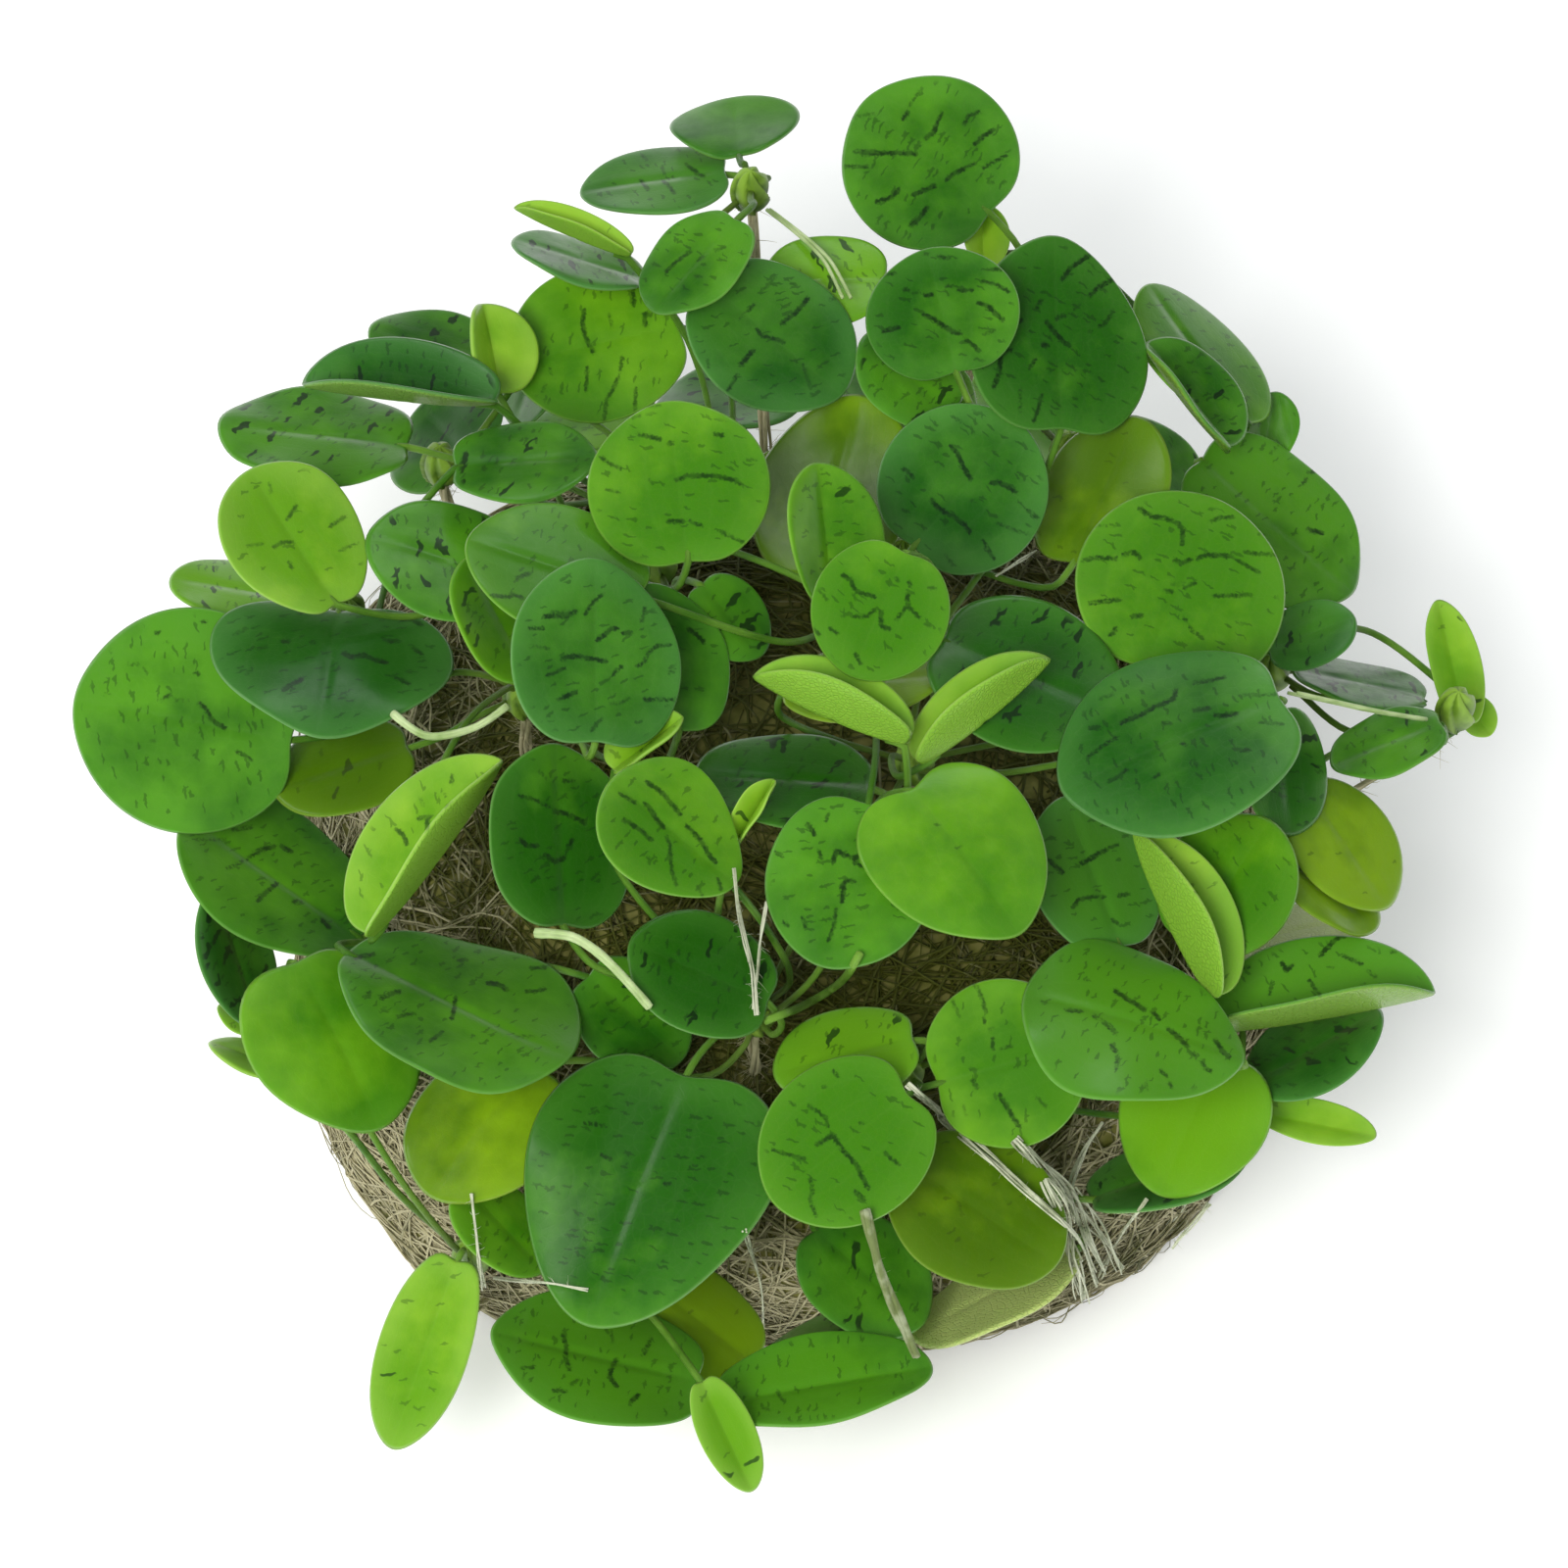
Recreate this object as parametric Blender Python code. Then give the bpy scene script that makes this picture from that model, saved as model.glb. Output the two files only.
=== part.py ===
# A floating frogbit clump, lifted out of the water and resting on its root mass.
# Plants with short crowns stand on one felted pad of roots; their glossy leaves form a low dome.
# Lengths are millimetres here and become metres where a mesh is made. +Z is up, and the origin
# is the middle of the flat underside of the root mass.

import math

import bmesh
import bpy
from mathutils import Matrix, Vector
from mathutils.bvhtree import BVHTree

MM = 0.001
GAP = 0.3
SHARP_ANGLE = math.radians(50)

# The sheet of view: leaf places are measured on a life-size sheet, 160 mm square, held square to
# the line of sight of someone looking down on the clump. Across counts from the sheet's left edge
# and down from its top edge.
SHEET_MIDDLE = (80.0, 80.0)
SIGHT_ELEVATION = math.radians(60)
SIGHT_DISTANCE = 800.0
AIM = Vector((0.0, 0.0, 34.0))

# The dome that the leaves fill: its top, and how far it falls at each side
DOME_TOP = 68.0
DOME_REACH = 68.0
SIDE_FALL = 27.0
BACK_FALL = 14.0
FRONT_FALL = 50.0

# The root mass: a rounded, nearly square pad with a flat underside
ROOT_HALF_WIDTH = 51.0
ROOT_HALF_DEPTH = 50.0
ROOT_SQUARENESS = 2.6
ROOT_SEGMENTS = 30
ROOT_LUMP = 0.028
ROOT_WAVE = 0.9
# (height, share of the full width) from the underside to the top
ROOT_PROFILE = [
    (0.0, 0.93),
    (2.5, 0.975),
    (8.0, 1.0),
    (15.0, 0.985),
    (22.0, 0.92),
    (28.0, 0.78),
    (32.5, 0.52),
]
ROOT_TOP = 34.5

# The leaf blade
BLADE_THICKNESS = 1.1
BASE_THINNING = 0.9
BLADE_FULLNESS = 0.95
NOTCH_DEPTH = 0.13
NOTCH_SPREAD = 0.34
POINT_LENGTH = 0.03
POINT_SPREAD = 0.35
RIM_TURNS = [30, 60, 90, 120, 150]
MIDRIB_PLACES = [0.22, 0.5, 0.78]
# The corners at the base of the blade, in their order round it
BASE_RING = [0, 1, 3, 2]
PUSH_STEP = 0.6
PUSH_STEPS = 110

# How the overlapping blades are laid over one another: the pitch of the cells that they are compared
# in, how often the depths are evened out, and the share of each move that the upper blade makes
CELL = 1.0
LEAST_SHARED = 4
EVENING_ROUNDS = 300
UPPER_SHARE = 0.5

# Stalks, runners and crowns
STALK_HALF_WIDTH = 0.55
STALK_TAPER = 0.9
STALK_SEGMENTS = 4
SMALL_STALK_SEGMENTS = 3
STALK_DIP = 0.35
STUB_LENGTH = 3.0
STRAND_HALF_WIDTH = 1.0
STRAND_TAPER = 0.75
CROWN_RADIUS = 2.6
CROWN_HEIGHT_SHARE = 1.35
CROWN_STEPS = 60
# What is added to a gap beside a faceted round surface
ROUNDING = 0.2

# The ways that are tried for a stalk: crowns, how far it runs on behind the blade, how far it dips
# under it, and how it leaves the crown
STALK_CROWNS = 10
STALK_CHOICES = 30
ALL_STALK_CHOICES = 180
# A stalk longer than this is as much of a fault as one that crosses a leaf, for each so much more
STALK_LENGTH = 30.0
STALK_EXCESS = 6.0
STALK_PULLS = [0.3, 0.5, 0.8]
STALK_DIPS = [0.0, 0.35, -0.25, 0.8]
STALK_SWINGS = [0, 30, -30, 60, -60, 90, -90, 120, -120, 150, -150, 180]
STALK_RISES = [0.9, 0.2, 2.0, -0.5]
STALK_ARRIVAL = 0.35
STALK_FALL = 0.7
STALK_STRAIGHTNESS = 0.6
STALK_SINK = 1.6
# No stalk comes nearer to the resting face than this
STALK_LOWEST = 4.0

# The ways that are tried for a root strand: how far aside it lands, and how far below the crown
STRAND_REACHES = [0.0, 3.0, 6.0, 10.0, 14.0, 18.0]
STRAND_DROPS = [12.0, 6.0, 0.0]
STRAND_HEADINGS = 8
STRAND_CLEARANCE = 0.8
STRAND_START = 0.6
STRAND_PULL = 4.0

# How far a runner may be moved along the line of sight, in steps
RUNNER_STEP = 0.5
RUNNER_STEPS = 61

# The larger leaves are pieces of their own; the smaller ones stay with the crown they grow from
SEPARATE_LEAVES = 37

# Colours and roughness of the kinds of surface
FINISHES = {
    "mature": ((0.055, 0.200, 0.022), 0.32),
    "blue": ((0.045, 0.165, 0.050), 0.30),
    "bright": ((0.110, 0.290, 0.024), 0.34),
    "young": ((0.220, 0.430, 0.050), 0.36),
    "olive": ((0.180, 0.240, 0.022), 0.38),
    "crown": ((0.110, 0.260, 0.035), 0.45),
    "runner": ((0.450, 0.560, 0.320), 0.42),
    "root": ((0.480, 0.430, 0.290), 0.80),
}

# Each leaf: name, kind, the sheet places of its base and of its tip, its width as seen, how many
# degrees its tip leans toward the viewer, and what sets it apart:
#   fold   degrees that each half rises from flat, along the midrib
#   turn   degrees that the blade is rolled about its midrib, instead of what its seen width gives
#   width  true width, for a folded blade
#   cup    how far the rim stands up, as a share of the width (negative: hangs down)
#   deep   how far behind the dome it lies
#   taper  how much broader it is at its base than at its tip, as a share of its width
#   notch  depth of the notch at the stalk, as a share of its size
#   crown  the plant that it grows on, where that isn't left to the nearest clear way
# The list runs from the leaves on top to those underneath.
LEAVES = [
    ("back_round", "mature", (101.0, 21.7), (87.8, 10.2), 18.4, -12, {"crown": "back_right"}),
    ("back_flat", "mature", (75.4, 15.8), (74.6, 9.0), 13.4, -58, {"taper": -0.6, "crown": "back"}),
    ("back_sheen", "blue", (74.0, 17.6), (58.9, 19.6), 7.8, 0, {"taper": 0.2, "crown": "back"}),
    ("back_hanging", "mature", (75.0, 22.4), (66.6, 31.8), 9.0, 10, {"crown": "back"}),
    ("far_fold", "young", (64.2, 26.2), (52.4, 21.2), 2.6, 0, {"fold": 58, "turn": 55, "width": 5.4}),
    ("far_sheen", "blue", (65.4, 28.6), (52.2, 24.4), 5.2, 0, {}),
    ("centre_round", "bright", (70.2, 57.3), (68.2, 41.3), 18.2, -12, {}),
    ("blue_middle", "blue", (72.6, 29.2), (85.8, 40.4), 15.0, 8, {}),
    ("bright_left", "bright", (69.2, 33.2), (51.6, 37.2), 16.4, 0, {}),
    ("streaked_back", "mature", (97.6, 38.0), (94.6, 25.6), 15.6, 0, {}),
    ("large_back", "mature", (108.3, 43.9), (107.6, 24.1), 17.8, -12, {"taper": 0.25}),
    ("back_bud", "young", (100.4, 27.4), (100.2, 20.6), 4.6, -10, {"fold": 35, "turn": 15, "width": 6.0}),
    ("narrow_dark", "mature", (125.4, 45.8), (117.0, 35.0), 6.2, 0, {"fold": 25}),
    ("right_tilted", "bright", (127.6, 43.2), (116.9, 29.0), 9.8, -8, {}),
    ("small_forked", "bright", (92.4, 56.4), (87.0, 68.6), 13.6, 5, {}),
    ("round_dark", "blue", (93.2, 55.8), (104.0, 43.2), 17.2, -6, {}),
    ("glossy_right", "blue", (130.6, 71.2), (109.2, 80.6), 17.6, 5, {"cup": -0.04}),
    ("round_right", "bright", (116.8, 68.2), (124.8, 51.2), 21.4, -16, {}),
    ("fold_left", "young", (92.4, 76.0), (77.4, 69.4), 6.0, 0, {"fold": 66, "turn": 62, "width": 11.0}),
    ("fold_right", "young", (94.0, 78.0), (106.8, 67.7), 6.0, 0, {"fold": 64, "turn": 62, "width": 10.0}),
    ("blue_left", "blue", (60.8, 75.8), (60.6, 57.7), 16.4, -14, {"taper": 0.15}),
    ("young_left", "young", (34.4, 61.6), (25.6, 48.0), 13.2, -6, {"cup": 0.10, "taper": -0.35}),
    ("wide_left", "blue", (34.6, 62.2), (33.2, 75.0), 23.4, 46, {"cup": -0.05, "taper": 0.4, "notch": 0.2}),
    ("curled_left", "blue", (50.6, 41.2), (31.0, 39.0), 7.6, 0, {"fold": 32, "turn": 62, "width": 14.0}),
    ("plain_heart", "bright", (93.0, 80.6), (103.4, 94.6), 16.4, 18, {"cup": -0.08, "taper": 0.3, "notch": 0.22}),
    ("forked_middle", "mature", (88.6, 82.0), (84.6, 98.0), 16.4, 18, {"cup": -0.04}),
    ("streaked_tongue", "bright", (75.0, 90.4), (63.0, 80.0), 12.0, 0, {"taper": -0.6, "notch": 0.03}),
    ("white_bud", "young", (75.2, 85.8), (78.9, 79.8), 3.0, 0, {"fold": 62, "turn": 20, "width": 5.5}),
    ("pale_bud", "young", (62.6, 78.6), (69.5, 73.4), 5.0, 0, {"fold": 50, "turn": 30, "width": 7.5}),
    ("spotted_fold", "young", (38.0, 95.6), (50.8, 78.2), 9.4, 0, {"fold": 48, "turn": 56, "width": 15.0}),
    ("front_left", "mature", (35.4, 97.0), (57.4, 107.8), 13.8, 12, {"taper": -0.5, "notch": 0.03}),
    ("round_front", "bright", (92.6, 111.6), (79.4, 122.0), 16.0, 8, {"notch": 0.18}),
    ("largest", "mature", (69.9, 109.8), (60.4, 134.0), 23.0, 12, {"cup": -0.06, "taper": 0.45, "notch": 0.18}),
    ("bright_fold", "young", (123.6, 101.8), (115.8, 85.6), 7.2, 0, {"fold": 62, "turn": 58, "width": 13.0}),
    ("white_edged", "mature", (124.4, 105.0), (145.8, 101.2), 9.6, 0, {"fold": 46, "turn": 60, "width": 16}),
    ("front_right", "mature", (127.0, 108.2), (105.4, 101.8), 14.6, 0,
     {"cup": -0.04, "taper": -0.6, "notch": 0.0}),
    ("far_right_young", "young", (149.6, 73.8), (146.8, 61.2), 5.4, -5, {"fold": 20, "turn": 15, "width": 6}),
    ("far_right_bud", "young", (149.2, 71.4), (152.2, 75.0), 3.6, 0, {"fold": 20, "turn": 10, "width": 4.2}),
    ("hanging_left", "young", (46.6, 128.6), (40.0, 147.5), 8.8, -5, {"fold": 14, "turn": 10, "width": 9.6}),
    ("hanging_small", "young", (71.6, 141.0), (76.6, 151.8), 5.4, -5, {"fold": 20, "turn": 12, "width": 6}),
    ("lying_front", "mature", (73.8, 143.2), (94.4, 139.6), 8.4, 0, {"fold": 12, "turn": 48, "width": 12.5}),
    ("widest_left", "mature", (29.8, 75.5), (7.8, 71.3), 22.8, -5, {"cup": -0.04}),
    ("pale_upright", "young", (51.0, 40.2), (49.2, 30.9), 6.6, -5, {"fold": 30, "turn": 40, "width": 10.0}),
    ("left_oval", "mature", (41.6, 45.4), (22.2, 43.4), 10.4, 0, {}),
    ("left_back", "mature", (51.8, 37.6), (37.5, 33.6), 8.4, 0, {}),
    ("left_deep", "mature", (46.4, 47.6), (60.8, 46.6), 8.6, 0, {}),
    ("streaked_under", "bright", (65.4, 60.8), (48.2, 55.2), 12.6, 0, {}),
    ("pale_rimmed", "bright", (54.0, 69.0), (47.8, 57.2), 8.0, 0, {"cup": 0.06}),
    ("dark_left", "mature", (53.2, 59.6), (37.8, 54.6), 11.8, 0, {}),
    ("blue_left_twin", "mature", (69.4, 74.6), (66.0, 60.0), 12.6, -10, {}),
    ("lit_back", "bright", (90.4, 28.4), (77.6, 28.8), 9.8, 0, {}),
    ("shade_back", "mature", (96.8, 42.2), (88.2, 34.4), 9.2, 0, {}),
    ("large_right", "mature", (122.6, 46.8), (138.0, 60.6), 14.8, 0, {}),
    ("right_scrap", "mature", (128.8, 47.4), (130.2, 39.8), 6.0, -10, {}),
    ("bright_edge", "bright", (85.0, 61.6), (83.4, 47.6), 9.6, -5, {"fold": 24, "turn": 30, "width": 12.0}),
    ("olive_back", "olive", (82.6, 58.8), (87.8, 40.4), 15.8, -10, {}),
    ("olive_right", "olive", (109.4, 57.4), (116.0, 42.4), 12.0, -10, {}),
    ("dark_middle", "mature", (96.2, 65.2), (113.6, 72.8), 15.2, 8, {}),
    ("blue_right", "blue", (129.4, 66.4), (138.2, 63.0), 6.8, 0, {}),
    ("dark_front", "mature", (57.6, 94.4), (56.6, 76.6), 13.8, -8, {}),
    ("shaded_left", "olive", (41.6, 76.2), (28.0, 80.6), 9.8, 5, {}),
    ("broad_left", "mature", (36.8, 95.6), (19.2, 83.2), 13.0, 0, {"cup": 0.06, "taper": -0.3}),
    ("sheen_right", "blue", (114.4, 96.6), (108.6, 81.8), 12.4, -5, {}),
    ("bright_right", "bright", (121.6, 96.2), (129.4, 84.0), 13.2, -5, {}),
    ("bright_front", "bright", (95.6, 110.6), (110.2, 106.2), 16.8, 5, {}),
    ("yellow_front", "bright", (124.4, 107.6), (118.2, 121.4), 14.4, 15, {"taper": 0.3}),
    ("lower_left", "bright", (30.2, 98.2), (38.8, 114.6), 16.2, 15, {"cup": -0.04, "taper": 0.2}),
    ("yellow_left", "olive", (54.4, 108.8), (44.2, 121.4), 14.2, 15, {"cup": -0.04}),
    ("bright_behind", "bright", (93.2, 106.0), (79.4, 109.4), 9.0, 0, {}),
    ("faint_front", "olive", (92.6, 118.6), (107.2, 128.6), 14.4, 10, {}),
    ("bottom_left", "mature", (71.2, 141.0), (50.8, 136.0), 11.4, 5, {}),
    ("bottom_olive", "olive", (76.8, 139.2), (66.0, 130.6), 9.6, 5, {}),
    ("blue_corner", "blue", (128.0, 110.6), (140.6, 103.2), 7.8, 0, {}),
    ("thin_right", "young", (128.8, 113.6), (140.2, 115.8), 4.2, 0, {"fold": 20, "turn": 20, "width": 5.0}),
    ("far_right_low", "mature", (147.0, 73.8), (136.0, 78.0), 6.2, 0, {}),
    ("far_right_high", "mature", (145.4, 71.2), (132.0, 68.4), 4.8, 0, {}),
    ("right_shade", "mature", (130.4, 72.4), (131.6, 85.0), 9.2, 5, {}),
    ("olive_corner", "olive", (133.4, 80.4), (141.4, 92.4), 10.2, 5, {}),
    ("olive_low", "olive", (131.0, 85.6), (140.0, 94.8), 7.2, 5, {}),
    ("pale_crescent", "olive", (125.0, 96.6), (139.8, 93.6), 4.8, 0, {}),
    ("pale_far_left", "bright", (30.4, 61.4), (17.4, 59.0), 6.4, 0, {}),
    ("olive_gap", "olive", (80.0, 70.4), (95.6, 69.0), 7.4, 0, {}),
    ("dark_gap", "mature", (88.8, 80.2), (71.4, 79.0), 9.4, 0, {}),
    ("deep_round", "mature", (78.4, 102.2), (64.8, 96.4), 11.6, 5, {}),
    ("deep_left", "mature", (60.0, 99.6), (69.4, 108.0), 10.4, 0, {}),
    ("deep_front", "mature", (83.2, 125.4), (93.8, 135.0), 11.4, 5, {}),
    ("left_edge", "blue", (26.2, 104.2), (21.8, 90.4), 6.2, 0, {}),
    ("left_bud_high", "young", (27.0, 105.2), (22.3, 102.6), 2.8, 0, {}),
    ("left_bud_low", "young", (29.6, 109.4), (21.5, 106.4), 2.6, 0, {}),
    ("blue_low", "blue", (111.4, 122.2), (127.4, 117.2), 5.6, 0, {}),
    ("blue_front", "blue", (92.0, 134.6), (77.8, 138.8), 4.2, 0, {"deep": 2}),
    ("bright_low", "bright", (47.4, 121.2), (55.4, 129.4), 7.4, 5, {}),
    ("clear_old", "olive", (109.6, 127.4), (93.4, 136.4), 5.8, 0, {"deep": -6}),
    ("under_round", "mature", (71.6, 59.6), (77.6, 66.8), 7.4, 0, {"deep": 4}),
    ("bright_scrap", "bright", (98.4, 43.4), (96.2, 36.8), 4.4, 0, {}),
    ("shade_left", "mature", (57.2, 31.4), (52.4, 43.8), 7.0, 0, {}),
]

# The leaves of the far side, which those in sight cover
REAR_LEAVES = [
    ("rear_a", "mature", (48.0, 47.0), (42.0, 41.0), 15.0, -52, {"deep": 44}),
    ("rear_b", "bright", (62.0, 46.0), (58.0, 38.5), 15.0, -55, {"deep": 47}),
    ("rear_c", "blue", (75.0, 44.0), (74.0, 36.0), 16.0, -58, {"deep": 50}),
    ("rear_d", "mature", (89.0, 44.0), (91.0, 36.0), 15.0, -56, {"deep": 50}),
    ("rear_e", "bright", (102.0, 46.0), (106.0, 39.0), 15.0, -54, {"deep": 46}),
    ("rear_f", "mature", (116.0, 50.0), (122.0, 45.0), 14.0, -48, {"deep": 42}),
    ("rear_g", "olive", (82.0, 52.0), (82.0, 45.0), 13.0, -50, {"deep": 34}),
]

# Each plant's crown: name, its place on the sheet, and its height above the resting face
CROWNS = [
    ("back", (76.6, 19.4), 54.0),
    ("back_right", (100.4, 27.8), 50.0),
    ("left_high", (45.0, 47.4), 44.0),
    ("left_middle", (53.4, 71.0), 46.0),
    ("front_middle", (92.4, 109.8), 41.0),
    ("far_right", (148.6, 72.4), 42.0),
    ("right_back", (109.2, 46.2), 48.0),
    ("centre_left", (67.0, 57.8), 48.0),
    ("centre", (92.2, 57.0), 50.0),
    ("centre_low", (93.2, 77.8), 46.2),
    ("left", (35.6, 62.6), 40.0),
    ("lower_left", (37.6, 96.2), 34.0),
    ("right", (129.8, 68.4), 42.0),
    ("lower_right", (124.6, 103.4), 37.0),
    ("front_left", (48.0, 128.4), 20.0),
    ("front", (72.0, 140.6), 17.0),
    ("low_middle", (77.0, 103.4), 42.0),
]

# Each runner: name, half width, and the sheet places it passes with its depth behind the dome
RUNNERS = [
    ("back_curl", 0.40, [(78.4, 21.4), (81.6, 23.9), (84.4, 26.6), (86.4, 30.4)], 1.0),
    ("far_right_runner", 0.42, [(145.4, 73.4), (140.6, 72.6), (136.0, 71.6), (131.9, 70.7)], 1.0),
    ("left_curl", 0.42, [(40.1, 72.8), (43.6, 75.1), (48.5, 74.2), (51.8, 72.0)], 4.0),
    ("cut_white", 0.50, [(54.6, 95.2), (58.4, 95.6), (61.6, 97.7), (64.4, 100.6), (66.3, 102.8)], 1.0),
    ("front_hanging", 0.70, [(88.3, 123.5), (89.4, 128.0), (90.9, 132.4), (93.6, 138.4)], 2.0),
]

SIDEWAYS = Vector((1.0, 0.0, 0.0))
TOWARD = Vector((0.0, -math.cos(SIGHT_ELEVATION), math.sin(SIGHT_ELEVATION)))
EYE = AIM + TOWARD * SIGHT_DISTANCE
UPWARD = Vector((0.0, math.sin(SIGHT_ELEVATION), math.cos(SIGHT_ELEVATION)))
DOWN = Vector((0.0, 0.0, -1.0))


# Places on the sheet of view

def from_sheet(place, depth):
    shrink = 1 - depth / SIGHT_DISTANCE
    across = (place[0] - SHEET_MIDDLE[0]) * shrink
    up = (SHEET_MIDDLE[1] - place[1]) * shrink
    return AIM + SIDEWAYS * across + UPWARD * up + TOWARD * depth


def to_sheet(point):
    depth = (point - AIM).dot(TOWARD)
    shrink = 1 - depth / SIGHT_DISTANCE
    across = (point - AIM).dot(SIDEWAYS) / shrink
    up = (point - AIM).dot(UPWARD) / shrink
    return Vector((SHEET_MIDDLE[0] + across, SHEET_MIDDLE[1] - up, depth))


def dome_height(point):
    fall = BACK_FALL if point.y > 0 else FRONT_FALL
    return DOME_TOP - SIDE_FALL * (point.x / DOME_REACH) ** 2 - fall * (point.y / DOME_REACH) ** 2


def dome_depth(place):
    near, far = 90.0, -90.0
    while near - far > 0.01:
        middle = (near + far) / 2
        point = from_sheet(place, middle)
        if point.z > dome_height(point):
            near = middle
        else:
            far = middle
    return near


def depth_at_height(place, height):
    return (height - from_sheet(place, 0).z) / TOWARD.z


# The leaf

def wrapped(turn):
    return abs((turn + math.pi) % (2 * math.pi) - math.pi)


def outline(turn, reach, notch, taper):
    """Place along and across a blade of unit size; turn counts round from the stalk's notch."""
    from_notch = wrapped(turn)
    dent = notch * math.exp(-((from_notch / NOTCH_SPREAD) ** 2))
    point = POINT_LENGTH * math.exp(-(((math.pi - from_notch) / POINT_SPREAD) ** 2))
    radius = 0.5 * (1 - dent + point) * reach
    notch_place = 0.5 * notch
    along = (0.5 - radius * math.cos(turn) - notch_place) / (1 + 0.5 * POINT_LENGTH - notch_place)
    return along, radius * math.sin(turn) * (1 + taper * (0.5 - along))


class Leaf:
    def __init__(self, name, kind, base, tip, seen_width, lean, extra):
        self.name = name
        self.kind = kind
        self.base = base
        self.tip = tip
        self.fold = math.radians(extra.get("fold", 0))
        self.cup = extra.get("cup", 0.03)
        self.taper = extra.get("taper", 0.0)
        self.notch = extra.get("notch", NOTCH_DEPTH)
        self.crown = extra.get("crown")
        middle = ((base[0] + tip[0]) / 2, (base[1] + tip[1]) / 2)
        self.start_depth = dome_depth(middle) - extra.get("deep", 0)
        seen = from_sheet(tip, 0) - from_sheet(base, 0)
        lean = math.radians(lean)
        self.length = seen.length / math.cos(lean)
        self.lean_depth = self.length * math.sin(lean)
        full_width = extra.get("width", max(seen_width, BLADE_FULLNESS * self.length))
        self.width = full_width
        axis = seen.normalized()
        self.axis = axis * math.cos(lean) + TOWARD * math.sin(lean)
        face = TOWARD * math.cos(lean) - axis * math.sin(lean)
        side = self.axis.cross(face)
        turn = math.radians(extra["turn"]) if "turn" in extra else math.acos(min(1, seen_width / full_width))
        turn = turn if side.z >= 0 else -turn
        self.face = face * math.cos(turn) + side * math.sin(turn)
        self.side = side * math.cos(turn) - face * math.sin(turn)
        self.depth = self.start_depth

    def root(self):
        return from_sheet(self.base, self.depth - self.lean_depth / 2)

    def place(self, along, across, raised):
        """World place of a point of the blade, across and along in shares of its size."""
        off_midrib = abs(across) * self.width
        bowl = self.cup * self.width * ((2 * across) ** 2 + (2 * along - 1) ** 2 - 1) / 2
        sideways = math.copysign(off_midrib * math.cos(self.fold), across)
        height = off_midrib * math.sin(self.fold) + bowl + raised
        return self.root() + self.axis * along * self.length + self.side * sideways + self.face * height

    def area(self):
        return self.length * self.width


def base_corners(leaf, extra_gap):
    """The small square face at the base of a blade that its stalk grows from."""
    across = (STALK_HALF_WIDTH + extra_gap) / leaf.width
    half = (BLADE_THICKNESS / 2 + extra_gap) * BASE_THINNING
    return [leaf.place(0, side * across, level) for level in (half, -half) for side in (-1, 1)]


def blade_shape(leaf, extra_gap):
    """Points and faces of a blade, its first four points the corners at its base."""
    grow = 1 + 2 * extra_gap / leaf.width
    half = BLADE_THICKNESS / 2 + extra_gap
    points = base_corners(leaf, extra_gap)
    for side in (-1, 1):
        for degrees in RIM_TURNS:
            along, across = outline(math.radians(degrees), grow, leaf.notch, leaf.taper)
            points.append(leaf.place(along, side * across, 0))
    along, across = outline(math.pi, grow, leaf.notch, leaf.taper)
    points.append(leaf.place(along, 0, 0))
    for level in (half, -half):
        for along in MIDRIB_PLACES:
            points.append(leaf.place(along, 0, level))
    count = len(RIM_TURNS)
    rim = {-1: list(range(4, 4 + count)), 1: list(range(4 + count, 4 + 2 * count))}
    tip = 4 + 2 * count
    faces = [(0, 1, 3, 2)]
    for level, midrib in ((0, tip + 1), (1, tip + 4)):
        corner = {-1: 2 * level, 1: 2 * level + 1}
        faces.append((corner[-1], corner[1], midrib))
        for side in (-1, 1):
            edge = [corner[side]] + rim[side] + [tip]
            for start, middle in ((0, 0), (1, 0), (2, 1), (3, 1), (4, 2), (5, 2)):
                faces.append((edge[start], edge[start + 1], midrib + middle))
            faces.append((edge[2], midrib, midrib + 1))
            faces.append((edge[4], midrib + 1, midrib + 2))
    for side in (-1, 1):
        top = 0 if side < 0 else 1
        faces.append((top, top + 2, rim[side][0]))
    return points, faces


# Paths, tubes and collision tests

def bezier(start, start_pull, end_pull, end, count):
    path = []
    for step in range(count + 1):
        t = step / count
        s = 1 - t
        path.append(start * s**3 + start_pull * (3 * s * s * t) + end_pull * (3 * s * t * t) + end * t**3)
    return path


def tube_rings(path, side, half_width, taper=1.0):
    """Square rings square to the path, their sides kept from twisting."""
    rings = []
    for number, point in enumerate(path):
        before = path[max(number - 1, 0)]
        after = path[min(number + 1, len(path) - 1)]
        along = (after - before).normalized()
        side = (side - along * side.dot(along)).normalized()
        raised = along.cross(side)
        share = 1 + (taper - 1) * number / (len(path) - 1)
        half = half_width * share
        rings.append([
            point - side * half + raised * half,
            point + side * half + raised * half,
            point + side * half - raised * half,
            point - side * half - raised * half,
        ])
    return rings


def tube_faces(rings, first):
    """Faces joining square rings whose points start at the given number."""
    faces = []
    for ring in range(len(rings) - 1):
        low = first + 4 * ring
        for corner in range(4):
            after = (corner + 1) % 4
            faces.append((low + corner, low + after, low + 4 + after, low + 4 + corner))
    return faces


def tube_shape(path, side, half_width, taper=1.0):
    return capped(tube_rings(path, side, half_width, taper))


def capped(rings):
    points = [point for ring in rings for point in ring]
    last = len(points) - 4
    faces = tube_faces(rings, 0) + [(0, 1, 2, 3), (last + 3, last + 2, last + 1, last)]
    return points, faces


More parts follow.
